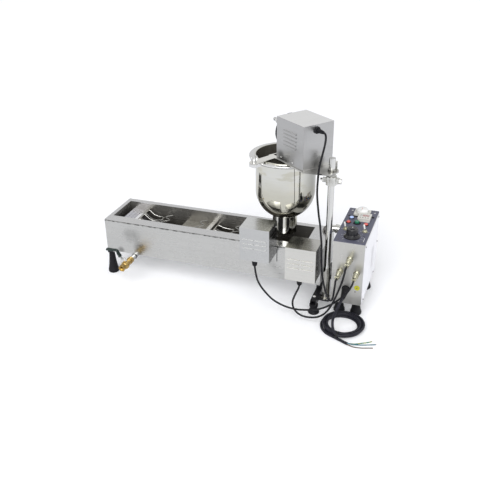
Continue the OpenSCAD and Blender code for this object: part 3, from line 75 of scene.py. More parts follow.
class Body(Enum):
    """Bodies of the frame that pieces ride on."""

    FRAME = "frame"
    COLLAR = "collar"
    HEAD = "arm"
    LEVER = "drain_lever"
    LEFT_TOGGLE = "toggle_left"
    RIGHT_TOGGLE = "toggle_right"
    SPEED = "speed"
    DIAL = "dial"


def at(x: float, y: float, z: float) -> Vector:
    """Gives a point of the machine's coordinates in the frame, in metres."""
    return (Vector((x, y, z)) - ORIGIN) * MM


def seat(x: float, y: float, z: float, up: Point = UP, turn: float = 0.0) -> Matrix:
    """Makes the placement of a piece that is written in its own millimetres.

    Args:
        x: Place along the trough.
        y: Place across the trough.
        z: Height over the floor.
        up: Direction that the piece's own Z takes.
        turn: Turn about that direction, in degrees.

    Returns:
        The matrix from the piece's millimetres to the frame's metres.
    """
    axis = Vector(up).normalized()
    side = Vector((1, 0, 0)) if abs(axis.x) < 0.9 else Vector((0, 1, 0))
    rear = axis.cross(side).normalized()
    basis = Matrix((rear.cross(axis), rear, axis)).transposed().to_4x4()
    spin = Matrix.Rotation(math.radians(turn), 4, "Z")
    return Matrix.Translation(at(x, y, z)) @ basis @ spin @ Matrix.Scale(MM, 4)


def on_head(u: float, v: float, z: float, up: Point) -> Matrix:
    """Makes a placement in the motor box's own directions.

    Args:
        u: Place across the box.
        v: Place towards the hopper.
        z: Height over the floor.
        up: Direction that the piece's own Z takes, in the same directions.

    Returns:
        The matrix from the piece's millimetres to the frame's metres.
    """
    c, s = math.cos(math.radians(HEAD_TURN)), math.sin(math.radians(HEAD_TURN))
    way = (up[0] * c - up[1] * s, up[0] * s + up[1] * c, up[2])
    return seat(HEAD_AXIS[0] + u * c - v * s, HEAD_AXIS[1] + u * s + v * c, z, way)


def bearings(sides: int) -> list[float]:
    """Gives the angles of points spread evenly round a circle."""
    return [2 * math.pi * k / sides for k in range(sides)]


def around(middle: Pair, radius: float, degrees: float) -> Pair:
    """Gives a point on a level circle."""
    a = math.radians(degrees)
    return middle[0] + radius * math.cos(a), middle[1] + radius * math.sin(a)


def smooth_route(route: Sequence[Vector], steps: int) -> list[Vector]:
    """Draws a smooth curve through a route's points.

    Args:
        route: The points that the curve goes through.
        steps: Stretches between two points.

    Returns:
        The points along the curve.
    """
    last = len(route) - 1
    out = []
    for i in range(last):
        a, b = route[max(i - 1, 0)], route[i]
        c, d = route[i + 1], route[min(i + 2, last)]
        for k in range(steps):
            t = k / steps
            out.append(0.5 * (2 * b + (c - a) * t + (2 * a - 5 * b + 4 * c - d) * t * t
                              + (3 * b - a - 3 * c + d) * t ** 3))
    return out + [route[last].copy()]


def path_length(path: Sequence[Vector]) -> float:
    """Adds up the stretches of a path."""
    return sum((b - a).length for a, b in zip(path, path[1:]))


def ribs(count: int, first: float, step: float, radius: float, taper: float, groove: float,
         marks: Point) -> list[Pair]:
    """Gives the profile of a boot's ribs.

    Args:
        count: Number of ribs.
        first: Height of the first one.
        step: Height from one to the next.
        radius: Radius of the first one.
        taper: How much smaller each next one is.
        groove: Depth of the grooves.
        marks: Heights over a rib's foot where it ends and where its groove is full and ends.

    Returns:
        Points of radius and height.
    """
    points = []
    for k in range(count):
        h, r = first + step * k, radius - taper * k
        points += [(r, h), (r, h + marks[0]), (r - groove, h + marks[1]), (r - groove, h + marks[2])]
    return points


def thread(turns: int, crest: float, root: float, start: float, pitch: float) -> list[Pair]:
    """Gives the profile of a thread's turns from a height on."""
    return [(r, start + pitch * h) for k in range(turns) for r, h in ((crest, k), (root, k + 0.5))]


def scaled(tone: Colour, share: float) -> Colour:
    """Makes a colour darker or lighter."""
    return tuple(min(1.0, value * share) for value in tone)


def stand(name: str, data: bpy.types.ID, place: Matrix | None = None) -> bpy.types.Object:
    """Puts an object into the scene.

    Args:
        name: The object's name.
        data: Its mesh, curve, light or camera.
        place: Its placement, or nothing for the frame's origin.

    Returns:
        The object.
    """
    made = bpy.data.objects.new(name, data)
    if place:
        made.matrix_world = place
    bpy.context.scene.collection.objects.link(made)
    return made


class Signal:
    """A shader value whose arithmetic adds Math nodes."""

    def __init__(self, tree: "NodeTree", socket: bpy.types.NodeSocket) -> None:
        """Keeps the tree and the socket that the value comes from."""
        self.tree, self.socket = tree, socket

    def __add__(self, other: "Signal | float") -> "Signal":
        """Adds a value."""
        return self.tree.math("ADD", self, other)

    __radd__ = __add__

    def __sub__(self, other: "Signal | float") -> "Signal":
        """Takes a value away."""
        return self.tree.math("SUBTRACT", self, other)

    def __rsub__(self, other: float) -> "Signal":
        """Takes this value from a number."""
        return self.tree.math("SUBTRACT", other, self)

    def __mul__(self, other: "Signal | float") -> "Signal":
        """Multiplies by a value."""
        return self.tree.math("MULTIPLY", self, other)

    __rmul__ = __mul__

    def __abs__(self) -> "Signal":
        """Drops the sign."""
        return self.tree.math("ABSOLUTE", self)

    def __pow__(self, power: float) -> "Signal":
        """Raises to a power."""
        return self.tree.math("POWER", self, power)

    def ramp(self, low: float, high: float, start: float = 0.0, end: float = 1.0) -> "Signal":
        """Maps low to start and high to end, smoothly and clamped."""
        return self.tree.node("ShaderNodeMapRange", {0: self, 1: low, 2: high, 3: start, 4: end},
                              interpolation_type="SMOOTHSTEP")

    def within(self, low: float, high: float) -> "Signal":
        """Keeps the value between two limits."""
        return self.ramp(low, high, low, high)


class NodeTree:
    """A node tree whose nodes are added by one method."""

    def __init__(self, owner: bpy.types.Material | bpy.types.World) -> None:
        """Starts an empty tree.

        Args:
            owner: The material or the world that it belongs to.
        """
        owner.use_nodes = True
        self.nodes, self.links = owner.node_tree.nodes, owner.node_tree.links
        self.nodes.clear()

    def feed(self, socket: bpy.types.NodeSocket, value: Signal | float | Sequence[float]) -> None:
        """Links a signal to a socket, or sets its value.

        Args:
            socket: The input.
            value: What goes there; a colour may leave out its alpha.
        """
        if isinstance(value, Signal):
            self.links.new(value.socket, socket)
        elif socket.type == "RGBA":
            socket.default_value = (*value, 1.0)
        else:
            socket.default_value = value

    def node(self, kind: str, sockets: dict | None = None, output: int | str = 0, **settings: str) -> Signal:
        """Adds a node.

        Args:
            kind: The node's type.
            sockets: Values or signals for its inputs, by name or number.
            output: The output that is handed back.
            **settings: What is set on the node first.

        Returns:
            The chosen output as a signal.
        """
        made = self.nodes.new(kind)
        for key, value in settings.items():
            setattr(made, key, value)
        for key, value in (sockets or {}).items():
            self.feed(made.inputs[key], value)
        return Signal(self, made.outputs[output])

    def end(self, kind: str, shader: Signal) -> None:
        """Adds the output node that a shader goes to."""
        self.feed(self.nodes.new(kind).inputs[0], shader)

    def outputs(self, source: Signal, *keys: int | str) -> list[Signal]:
        """Gives more outputs of the node that a signal comes from."""
        return [Signal(self, source.socket.node.outputs[key]) for key in keys]

    def math(self, operation: str, *values: Signal | float) -> Signal:
        """Adds one Math node."""
        return self.node("ShaderNodeMath", dict(enumerate(values)), operation=operation)

    def seen(self) -> Signal:
        """Finds what the camera sees, straight or by way of metal or glass.

        Returns:
            One on such a ray and nought on the others.
        """
        camera, glossy, through = self.outputs(
            self.node("ShaderNodeLightPath"), "Is Camera Ray", "Is Glossy Ray", "Is Transmission Ray")
        return camera + glossy + through


class ShaderTree(NodeTree):
    """A material's node tree with one principled shader."""

    def __init__(self, name: str, **values: float | Colour) -> None:
        """Makes the material and sets the shader's own sockets.

        Args:
            name: The material's name.
            **values: Values of the sockets, with underscores for spaces.
        """
        self.material = bpy.data.materials.new(name)
        super().__init__(self.material)
        self.shader = self.nodes.new("ShaderNodeBsdfPrincipled")
        self.end("ShaderNodeOutputMaterial", Signal(self, self.shader.outputs[0]))
        self.shade(**values)

    def shade(self, **values: Signal | float | Colour) -> None:
        """Feeds the shader's own sockets, with underscores for spaces."""
        for key, value in values.items():
            self.feed(self.shader.inputs[key.replace("_", " ").title().replace("Ior", "IOR")], value)

    def surface(self, colour: Signal, rough: Signal, height: Signal, strength: float,
                distance: float = MM) -> bpy.types.Material:
        """Feeds colour, roughness and bump.

        Args:
            colour: Base colour.
            rough: Roughness.
            height: Height of the texture.
            strength: Strength of the bump.
            distance: Metres that a height of one stands for.

        Returns:
            The material.
        """
        self.shade(base_color=colour, roughness=rough, normal=self.node(
            "ShaderNodeBump", {"Strength": strength, "Distance": distance, "Height": height}))
        return self.material

    def mix(self, share: Signal | float, low: Signal | Colour, high: Signal | Colour,
            blend: str = "MIX") -> Signal:
        """Mixes two colours by a share."""
        return self.node("ShaderNodeMix", {0: share, 6: low, 7: high}, 2, data_type="RGBA", blend_type=blend)

    def dim(self, tone: Signal, share: Signal | float) -> Signal:
        """Makes a colour that comes from other nodes darker or lighter."""
        return self.node("ShaderNodeVectorMath", {0: tone, "Scale": share}, operation="SCALE")

    def place(self) -> Signal:
        """Gives the point on the piece."""
        return self.node("ShaderNodeTexCoord", output="Object")

    def stretched(self, place: Signal, x: float, y: float, z: float) -> Signal:
        """Scales a point along each axis."""
        return self.node("ShaderNodeMapping", {0: place, 3: (x, y, z)})

    def parts(self, vector: Signal) -> list[Signal]:
        """Splits a vector into its three values."""
        return self.outputs(self.node("ShaderNodeSeparateXYZ", {0: vector}), 0, 1, 2)

    def facing(self) -> list[Signal]:
        """Gives the three values of the face's own direction."""
        return self.parts(self.node("ShaderNodeTexCoord", output="Normal"))

    def upward(self) -> Signal:
        """Gives one on faces that look up or down and nought on walls."""
        return abs(self.facing()[2]).ramp(0.55, 0.75)

    def noise(self, place: Signal, scale: float, detail: float = 2.0, rough: float = 0.5) -> Signal:
        """Gives even noise about one half."""
        return self.node("ShaderNodeTexNoise", {"Vector": place, "Scale": scale, "Detail": detail,
                                                "Roughness": rough})


class Grain(Enum):
    """Which way the walls of a sheet piece were brushed, as stretches along X, Y and Z."""

    LEVEL = (0.004, 0.004, 1.0)
    UPRIGHT = (1.0, 1.0, 0.004)


@dataclass(frozen=True)
class BrushedSteel:
    """Sheet steel with brushing lines, soft bands and handling marks, and painted light and shade.

    Attributes:
        tone: Colour of the metal.
        roughness: Middle roughness.
        top: Painted light: how much paler the faces that look up are than the walls, as if lit from above;
            below one they come out darker.
        marks: How strong the cloudy handling marks are.
        grain: Which way its walls were brushed.
        turn: Turn of the brushing about Z, in degrees.
        shade_and_stain: Colours of a vessel at its bottom and just under its rim, or nothing; the darkening
            is partly stain and partly painted shade.
        darkening_heights: Heights where that darkening is full and where it begins.
        side: Share of the colour left on walls that look along X, which mirror a dark neighbour.
        hood_shade: Painted shade: share of the colour left on sloping faces, such as louvre hoods, which dims
            their glint.
        shade_and_smudges: Dark patches, mostly painted shade and painted reflections of nearby parts and some
            smudges: middle, radius and share of the colour left there.
        shadow_seam: Height of a broken dark line of painted shadow along the joint under the rim, or nothing.
    """

    tone: Colour
    roughness: float = 0.33
    top: float = 1.25
    marks: float = 1.0
    grain: Grain = Grain.LEVEL
    turn: float = 0.0
    shade_and_stain: tuple[Colour, Colour] | None = None
    darkening_heights: Pair = (138.0, 237.4)
    side: float = 1.0
    hood_shade: float = 1.0
    shade_and_smudges: tuple[tuple[Point, float, float], ...] = ()
    shadow_seam: float | None = None

    def darken(self, tree: ShaderTree, colour: Signal) -> Signal:
        """Adds painted shade: the dark side wall, the dimmed hoods, the dark patches of painted shade,
        reflection and smudges, and the shadow line of the joint.

        Args:
            tree: The material's tree.
            colour: The metal's colour so far.

        Returns:
            The darkened colour.
        """
        place = tree.place()
        along, _, up = tree.facing()
        # Painted shade and reflection: walls that look along X and sloping hoods come out darker.
        sloping = up.ramp(0.12, 0.3) * up.ramp(0.85, 0.96, 1.0, 0.0)
        share = along.ramp(0.5, 0.8, 1.0, self.side) * sloping.ramp(0.0, 1.0, 1.0, self.hood_shade)
        # Dark patches: mostly painted shade and painted reflections of nearby parts, some smudges.
        for middle, radius, left in self.shade_and_smudges:
            reach = tree.node("ShaderNodeVectorMath", {0: place, 1: tuple(at(*middle))}, "Value",
                              operation="DISTANCE")
            share = share * reach.ramp(radius * 0.2 * MM, radius * MM, left, 1.0)
        # Painted shadow: a broken dark line along the joint under the rim.
        if self.shadow_seam:
            dashes = tree.noise(tree.stretched(place, 1.0, 0.0, 0.0), 55.0).ramp(0.44, 0.56, 0.85, 0.25)
            away = abs(tree.parts(place)[2] - self.shadow_seam * MM)
            share = share * (away.ramp(0.0011, 0.0019) * (1.0 - dashes) + dashes)
        return tree.dim(colour, share)

    def make(self, name: str) -> bpy.types.Material:
        """Builds the material.

        Args:
            name: The material's name.

        Returns:
            The material.
        """
        tree = ShaderTree(name, metallic=1.0)
        place, flat = tree.place(), tree.upward()
        if self.turn:
            place = tree.node("ShaderNodeMapping", {0: place, 2: (0.0, 0.0, -math.radians(self.turn))})
        walls, tops = tree.stretched(place, *self.grain.value), tree.stretched(place, 0.004, 1.0, 0.004)
        lines = []
        for scale, detail in ((2300.0, 2.0), (420.0, 3.0), (46.0, 2.0)):
            wall, top = tree.noise(walls, scale, detail), tree.noise(tops, scale, detail)
            lines.append(wall + (top - wall) * flat)
        clouds = tree.noise(place, 9.0, 4.0, 0.6)
        smears = tree.noise(tree.stretched(place, 1.0, 1.0, 0.35), 26.0, 3.0)
        shade = (lines[0] - 0.5) * 0.22 + (lines[1] - 0.5) * 0.20 + (lines[2] - 0.5) * 0.22 \
            + (clouds - 0.5) * (0.22 * self.marks) + 0.5
        # Painted light: faces that look up take the tone times the top share, so they come out paler or
        # darker than the walls.
        wall, top = (tree.mix(shade, scaled(self.tone, 0.80 * pale), scaled(self.tone, 1.20 * pale))
                     for pale in (1.0, self.top))
        colour = tree.mix(flat, wall, top)
        # Below the rim a vessel darkens towards the bottom, partly stain and partly painted shade.
        if self.shade_and_stain:
            low, high = (height * MM for height in self.darkening_heights)
            height = tree.parts(tree.place())[2]
            inner = tree.mix((height + (smears - 0.5) * 0.06).ramp(low, high), *self.shade_and_stain)
            inner = tree.mix(shade, tree.dim(inner, 0.75), tree.dim(inner, 1.25))
            colour = tree.mix(height.ramp(high - MM, high, 1.0, 0.0), colour, inner)
            tree.shade(metallic=height.ramp(high - MM, high, 0.72, 1.0))
        rough = self.roughness + (lines[1] - 0.5) * 0.16 + (clouds - 0.5) * (0.18 * self.marks) \
            + (smears - 0.5) * (0.10 * self.marks)
        return tree.surface(self.darken(tree, colour), rough.within(0.05, 0.8), lines[0] * 0.5 + lines[1],
                            0.10, 0.00012)


@dataclass(frozen=True)
class PolishedSteel:
    """Bright steel with faint polishing rings, ripples and finger marks, and painted shade where it turns
    away from the eye.

    Attributes:
        tone: Colour of the metal.
        roughness: Middle roughness.
        rings: Strength of the level polishing rings.
        edge: Painted shade: share of the colour that is left where it turns away from the eye, standing in
            for dark reflections at its rims.
        ripple: Height of the slow waves in the surface, in millimetres.
        warm: How much warmer the colour gets in the cloudy marks.
    """

    tone: Colour
    roughness: float
    rings: float = 0.4
    edge: float = 0.7
    ripple: float = 0.0
    warm: float = 0.3

    def colour(self, tree: ShaderTree, clouds: Signal, rings: Signal) -> Signal:
        """Gives the metal's colour.

        Args:
            tree: The material's tree.
            clouds: The cloudy marks.
            rings: The polishing rings.

        Returns:
            The colour with its marks, with painted shade where it turns away.
        """
        cool = tree.mix(rings, scaled(self.tone, 0.93), scaled(self.tone, 1.05))
        warm = tuple(value * share for value, share in zip(self.tone, (1.0, 0.97, 0.88)))
        marked = tree.mix(clouds.ramp(0.45, 0.75, 0.0, self.warm), cool, warm)
        # Painted shade: the colour dims where the face turns away from the eye.
        facing = tree.node("ShaderNodeLayerWeight", {"Blend": 0.5}, "Facing")
        return tree.mix(facing.ramp(0.35, 0.95), marked, tree.dim(marked, self.edge))

    def make(self, name: str) -> bpy.types.Material:
        """Builds the material.

        Args:
            name: The material's name.

        Returns:
            The material.
        """
        tree = ShaderTree(name, metallic=1.0)
        place = tree.place()
        rings = tree.noise(tree.stretched(place, 0.01, 0.01, 1.0), 900.0, 3.0)
        bands = tree.noise(tree.stretched(place, 0.05, 0.05, 1.0), 60.0)
        clouds = tree.noise(place, 14.0, 4.0, 0.6)
        marks = tree.noise(place, 55.0, 3.0, 0.65)
        rough = self.roughness + (rings - 0.5) * (0.10 * self.rings) + marks.ramp(0.5, 0.8, 0.0, 0.08) \
            + (clouds - 0.5) * 0.05
        height = tree.noise(place, 11.0, 1.0) * self.ripple + rings * (0.006 * self.rings) \
            + bands * (0.03 * self.rings)
        return tree.surface(self.colour(tree, clouds, rings), rough.within(0.02, 0.8), height, 0.5)


@dataclass(frozen=True)
class HopperSteel(PolishedSteel):
    """Mirror steel of the hopper, dull and dark inside where the batter has been.

    Attributes:
        turn_height: Height where the straight wall meets the round bottom.
        middle: Radius in the middle of the wall.
        shaded: Share of the colour left on the side that mirrors the post and the control box.
        film: Colour of the greasy film on the lower half.
    """

    turn_height: float = 416.0
    middle: float = 108.5
    shaded: float = 0.55
    film: Colour = (0.82, 0.80, 0.72)

    def make(self, name: str) -> bpy.types.Material:
        """Builds the material.

        Args:
            name: The material's name.

        Returns:
            The material.
        """
        tree = ShaderTree(name)
        place = tree.place()
        x, y, z = tree.parts(place)
        centre = at(*HOPPER_AXIS, self.turn_height)
        below = tree.math("MINIMUM", z - centre.z, 0.0)
        dx, dy = x - centre.x, y - centre.y
        reach = (dx * dx + dy * dy + below * below) ** 0.5
        inside = reach.ramp((self.middle + 0.3) * MM, (self.middle - 0.3) * MM)
        rings = tree.noise(tree.stretched(place, 0.01, 0.01, 1.0), 700.0, 3.0)
        bands = tree.noise(tree.stretched(place, 0.03, 0.03, 1.0), 38.0, 3.0)
        clouds = tree.noise(place, 12.0, 4.0, 0.6)
        marks = tree.noise(place, 60.0, 4.0, 0.65)
        outside = self.colour(tree, clouds + (bands - 0.5) * 0.5, rings)
        outside = tree.dim(outside, (dx * 0.94 + dy * 0.34).ramp(0.03, 0.10, 1.0, self.shaded))
        streaks = tree.noise(tree.stretched(place, 0.35, 0.35, 1.0), 30.0, 3.0, 0.6)
        greasy = (z + (clouds - 0.5) * 0.08).ramp(0.40, 0.50, 0.9, 0.0) * z.ramp(0.315, 0.345)
        greasy = tree.math("MAXIMUM", greasy, streaks.ramp(0.50, 0.62, 0.0, 0.75))
        outside = tree.mix(greasy, outside, self.film, "MULTIPLY")
        dull = tree.mix(marks, (0.13, 0.12, 0.10), (0.26, 0.245, 0.205))
        tree.shade(metallic=inside.ramp(0.0, 1.0, 1.0, 0.6))
        rough = self.roughness + (rings - 0.5) * 0.03 + marks.ramp(0.5, 0.8, 0.0, 0.07) + inside * 0.22
        height = tree.noise(place, 10.0, 1.0) * self.ripple + bands * 0.07 + streaks * 0.05 + rings * 0.004
        return tree.surface(tree.mix(inside, outside, dull), rough.within(0.02, 0.8), height, 0.5)


@dataclass(frozen=True)
class Moulded:
    """Plastic, rubber or paint with a fine texture, dust and rubbed places.

    Attributes:
        tone: Its colour.
        roughness: Middle roughness.
        pitch: Size of the fine texture, in millimetres.
        depth: Height of that texture, in millimetres.
        dust: How pale its upper faces get.
        coat: Weight of a clear coat.
        drift: How much the colour drifts from place to place.
        shine: Level of its own reflection.
    """

    tone: Colour
    roughness: float
    pitch: float
    depth: float
    dust: float
    coat: float = 0.0
    drift: float = 0.12
    shine: float = 0.3

    def make(self, name: str) -> bpy.types.Material:
        """Builds the material.

        Args:
            name: The material's name.

        Returns:
            The material.
        """
        tree = ShaderTree(name, metallic=0.0, coat_weight=self.coat, coat_roughness=0.08,
                          specular_ior_level=self.shine)
        place = tree.place()
        skin = tree.noise(place, 1000.0 / self.pitch)
        rubbed = tree.noise(place, 38.0, 4.0, 0.65)
        clouds = tree.noise(place, 8.0, 3.0)
        body = tree.mix((clouds + rubbed) * 0.5, scaled(self.tone, 1 - self.drift),
                        scaled(self.tone, 1 + self.drift))
        settled = tree.upward() * rubbed.ramp(0.35, 0.75, 0.0, self.dust)
        pale = tuple(min(1.0, value + 0.10) for value in self.tone)
        rough = self.roughness + (rubbed - 0.5) * 0.22 + (skin - 0.5) * 0.10 + settled * 0.4
        return tree.surface(tree.mix(settled, body, pale), rough.within(0.05, 0.95),
                            skin * self.depth + rubbed * 0.05, 0.6)


@dataclass(frozen=True)
class TurnedMetal:
    """Brass, bronze, aluminium or dull steel with tool lines and tarnish.

    Attributes:
        tone: Colour where it is clean.
        tarnish: Colour where it has aged.
        aged: Share of aged places.
        roughness: Middle roughness.
    """

    tone: Colour
    tarnish: Colour
    aged: float
    roughness: float

    def make(self, name: str) -> bpy.types.Material:
        """Builds the material.

        Args:
            name: The material's name.

        Returns:
            The material.
        """
        tree = ShaderTree(name, metallic=1.0)
        place = tree.place()
        lines = tree.noise(tree.stretched(place, 0.05, 1.0, 0.05), 1600.0)
        spots = tree.noise(place, 95.0, 4.0, 0.65)
        clouds = tree.noise(place, 30.0, 3.0)
        old = (spots * 0.6 + clouds * 0.4).ramp(0.42, 0.68, 0.0, self.aged)
        bright = tree.mix(lines, scaled(self.tone, 0.86), scaled(self.tone, 1.10))
        rough = self.roughness + old * 0.25 + (lines - 0.5) * 0.14
        return tree.surface(tree.mix(old, bright, self.tarnish), rough.within(0.05, 0.9),
                            lines * 0.012 + spots * 0.02, 0.6)


@dataclass(frozen=True)
class Insulation:
    """Sleeve of one conductor in two colours that wind round it, which are alike on a plain one.

    Attributes:
        tone: First colour.
        second: Second colour.
    """

    tone: Colour
    second: Colour

    def make(self, name: str) -> bpy.types.Material:
        """Builds the material.

        Args:
            name: The material's name.

        Returns:
            The material.
        """
        tree = ShaderTree(name, metallic=0.0, coat_weight=0.15)
        place = tree.place()
        wind = tree.node("ShaderNodeTexWave", {"Vector": place, "Scale": 22.0, "Distortion": 0.6}, 1,
                         wave_type="BANDS", bands_direction="DIAGONAL")
        grain = tree.noise(place, 900.0)
        return tree.surface(tree.mix(wind.ramp(0.45, 0.55), scaled(self.tone, 0.95), self.second),
                            grain.ramp(0.3, 0.7, 0.32, 0.5), grain, 0.3, 0.00008)


@dataclass(frozen=True)
class Glow:
    """A lit segment or lamp: a lens with a little light of its own.

    Attributes:
        tone: Colour of the lens.
        strength: Light of its own, where one is white.
    """

    tone: Colour
    strength: float

    def make(self, name: str) -> bpy.types.Material:
        """Builds the material.

        Args:
            name: The material's name.

        Returns:
            The material.
        """
        tree = ShaderTree(name, metallic=0.0, coat_weight=0.6, coat_roughness=0.05,
                          emission_strength=self.strength)
        facets = tree.node("ShaderNodeTexVoronoi", {"Vector": tree.place(), "Scale": 420.0})
        colour = tree.mix(facets.ramp(0.0, 0.5), scaled(self.tone, 0.75), scaled(self.tone, 1.1))
        tree.shade(emission_color=colour)
        return tree.surface(colour, facets.ramp(0.0, 0.6, 0.12, 0.3), facets, 0.3, 0.0002)


# Painted light and shade in these finishes: the faces of a brushed sheet that look up take its top share and
# come out paler than its walls, darker on the right cover; a polished finish dims where it turns away from
# the eye.
FINISHES = {
    # Casing: its dark patches are mostly painted reflection and shade, one of them the valve handle's
    # reflection, with some smudges; its broken joint line is a painted shadow under the rim.
    "casing sheet": BrushedSteel((0.48, 0.48, 0.47), shadow_seam=232.6, shade_and_smudges=(
        ((144, 0, 134), 34.0, 0.62), ((140, 0, 112), 22.0, 0.75), ((106, 0, 166), 30.0, 0.86),
        ((62, 0, 110), 20.0, 0.5))),
    # Tank: darker towards the bottom inside, partly oil stain and partly painted shade of its depth.
    "rim and tank sheet": BrushedSteel((0.47, 0.47, 0.475), 0.30, 1.02,
                                       shade_and_stain=((0.088, 0.080, 0.066), (0.27, 0.262, 0.245))),
    # Tray: darker below its flange as painted shade.
    "tray sheet": BrushedSteel((0.60, 0.60, 0.61), 0.30, 1.2, 0.6, darkening_heights=(190.0, 210.5),
                               shade_and_stain=((0.46, 0.46, 0.50), (0.44, 0.44, 0.47))),
    # Plate: darker and browner towards the bottom.
    "plate sheet": BrushedSteel((0.56, 0.56, 0.55), 0.34, darkening_heights=(180.0, 196.0),
                                shade_and_stain=((0.26, 0.25, 0.22), (0.33, 0.32, 0.29))),
    # Covers, motor box and arm: their dimmed side walls and louvre hoods and their dark patches are painted
    # shade and reflection.
    "left cover sheet": BrushedSteel((0.47, 0.475, 0.475), 0.30, 1.12, side=0.5, hood_shade=0.5,
                                     shade_and_smudges=(((716, -5, 341), 88.0, 0.35),)),
    "right cover sheet": BrushedSteel((0.57, 0.565, 0.54), 0.28, 0.72, side=0.06, hood_shade=0.5,
                                      shade_and_smudges=(((774, -5, 290), 88.0, 0.6),)),
    "head sheet": BrushedSteel((0.41, 0.41, 0.41), 0.36, 1.5, 0.7, turn=HEAD_TURN, hood_shade=0.75, shade_and_smudges=(
        ((716.1, 33, 574), 26.0, 0.4), ((767, -6, 566), 8.0, 0.6))),
    "arm sheet": BrushedSteel((0.48, 0.475, 0.45), 0.22, turn=HEAD_TURN, shade_and_smudges=(
        ((862, -30, 556), 72.0, 0.34), ((905, -5, 556), 34.0, 0.6))),
    # Control box: the dark patches by the three connectors are their painted shadow and reflection.
    "control sheet": BrushedSteel((0.50, 0.495, 0.475), 0.36, grain=Grain.UPRIGHT, shade_and_smudges=(
        ((1000, -41, 268), 26.0, 0.7), ((966, -41, 216), 24.0, 0.7), ((1026, -41, 216), 26.0, 0.7))),
    "pale cover sheet": BrushedSteel((0.80, 0.80, 0.83), 0.38, marks=0.5, grain=Grain.UPRIGHT),
    "hopper mirror": HopperSteel((0.60, 0.60, 0.57), 0.035, edge=0.72, ripple=0.5, warm=0.9),
    "ring steel": PolishedSteel((0.64, 0.64, 0.64), 0.24, 0.8),
    "post chrome": PolishedSteel((0.62, 0.62, 0.61), 0.09, 1.0, 0.35),
    "socket steel": PolishedSteel((0.34, 0.335, 0.31), 0.16, 1.0, 0.4),
    "bright wire": PolishedSteel((0.40, 0.395, 0.38), 0.26, 0.2, 0.4),
    "bright steel": PolishedSteel((0.62, 0.62, 0.615), 0.20, 0.6, 0.5),
    "neck steel": PolishedSteel((0.60, 0.60, 0.57), 0.12, 0.6, 0.4),
    "plated screws": TurnedMetal((0.60, 0.60, 0.60), (0.30, 0.29, 0.27), 0.5, 0.22),
    "dark screws": TurnedMetal((0.16, 0.16, 0.16), (0.08, 0.075, 0.07), 0.6, 0.34),
    "chain steel": TurnedMetal((0.36, 0.355, 0.345), (0.13, 0.115, 0.10), 0.7, 0.36),
    "heater sheath": TurnedMetal((0.26, 0.25, 0.24), (0.10, 0.09, 0.08), 0.8, 0.42),
    "aluminium": TurnedMetal((0.60, 0.60, 0.58), (0.34, 0.33, 0.30), 0.5, 0.26),
    "nickel fittings": TurnedMetal((0.46, 0.45, 0.36), (0.24, 0.22, 0.12), 0.7, 0.27),
    "brass": TurnedMetal((0.47, 0.335, 0.125), (0.23, 0.145, 0.045), 0.65, 0.27),
    "brass thread": TurnedMetal((0.50, 0.31, 0.07), (0.24, 0.13, 0.04), 0.6, 0.35),
    "bronze": TurnedMetal((0.50, 0.35, 0.19), (0.26, 0.17, 0.08), 0.6, 0.32),
    "copper": TurnedMetal((0.55, 0.30, 0.18), (0.30, 0.16, 0.09), 0.4, 0.34),
    "motor enamel": Moulded((0.07, 0.073, 0.076), 0.4, 1.2, 0.05, 0.3),
    "black plastic": Moulded((0.008, 0.008, 0.010), 0.50, 0.5, 0.05, 0.06, shine=0.16),
    "black gloss plastic": Moulded((0.009, 0.009, 0.011), 0.28, 0.8, 0.01, 0.08, 0.15),
    "black enamel": Moulded((0.010, 0.010, 0.012), 0.38, 1.4, 0.04, 0.10, 0.1, shine=0.25),
    "crank enamel": Moulded((0.009, 0.009, 0.010), 0.40, 1.0, 0.03, 0.08),
    "slate enamel": Moulded((0.088, 0.090, 0.128), 0.46, 0.9, 0.05, 0.10, shine=0.25),
    "white plastic": Moulded((0.76, 0.76, 0.75), 0.30, 1.0, 0.01, 0.1, 0.2, 0.03),
    "ivory plastic": Moulded((0.62, 0.61, 0.57), 0.34, 1.0, 0.01, 0.1, 0.1, 0.04),
    "green plastic": Moulded((0.010, 0.16, 0.085), 0.28, 1.0, 0.01, 0.1, 0.3, 0.08),
    "grip sleeve": Moulded((0.008, 0.018, 0.016), 0.40, 0.7, 0.04, 0.15, 0.1, shine=0.25),
    "cable sheath": Moulded((0.006, 0.006, 0.008), 0.50, 0.4, 0.05, 0.10, shine=0.2),
    "lead sheath": Moulded((0.010, 0.010, 0.016), 0.48, 0.5, 0.06, 0.12, shine=0.22),
    "tie plastic": Moulded((0.005, 0.005, 0.006), 0.3, 0.5, 0.02, 0.1, 0.2, shine=0.25),
    "print white": Moulded((0.70, 0.70, 0.69), 0.5, 0.4, 0.01, 0.0, 0.0, 0.05),
    "print black": Moulded((0.012, 0.012, 0.012), 0.5, 0.4, 0.01, 0.0, 0.0, 0.05, 0.2),
    "earth disc": Moulded((0.44, 0.43, 0.015), 0.4, 0.8, 0.02, 0.0, 0.1, 0.15),
    "display window": Moulded((0.50, 0.49, 0.47), 0.22, 2.0, 0.005, 0.0, 0.3, 0.04),
    "display digit": Glow((0.30, 0.015, 0.015), 0.10),
    "red lens": Glow((0.50, 0.05, 0.035), 0.08),
    "blue lens": Glow((0.36, 0.48, 0.80), 0.12),
    "blue wire": Insulation((0.02, 0.12, 0.17), (0.02, 0.12, 0.17)),
    "earth wire": Insulation((0.03, 0.17, 0.10), (0.22, 0.26, 0.04)),
    "brown wire": Insulation((0.08, 0.05, 0.035), (0.08, 0.05, 0.035)),
}


@cache
def material(finish: str) -> bpy.types.Material:
    """Builds a finish of the table at its first use."""
    return FINISHES[finish].make(finish)


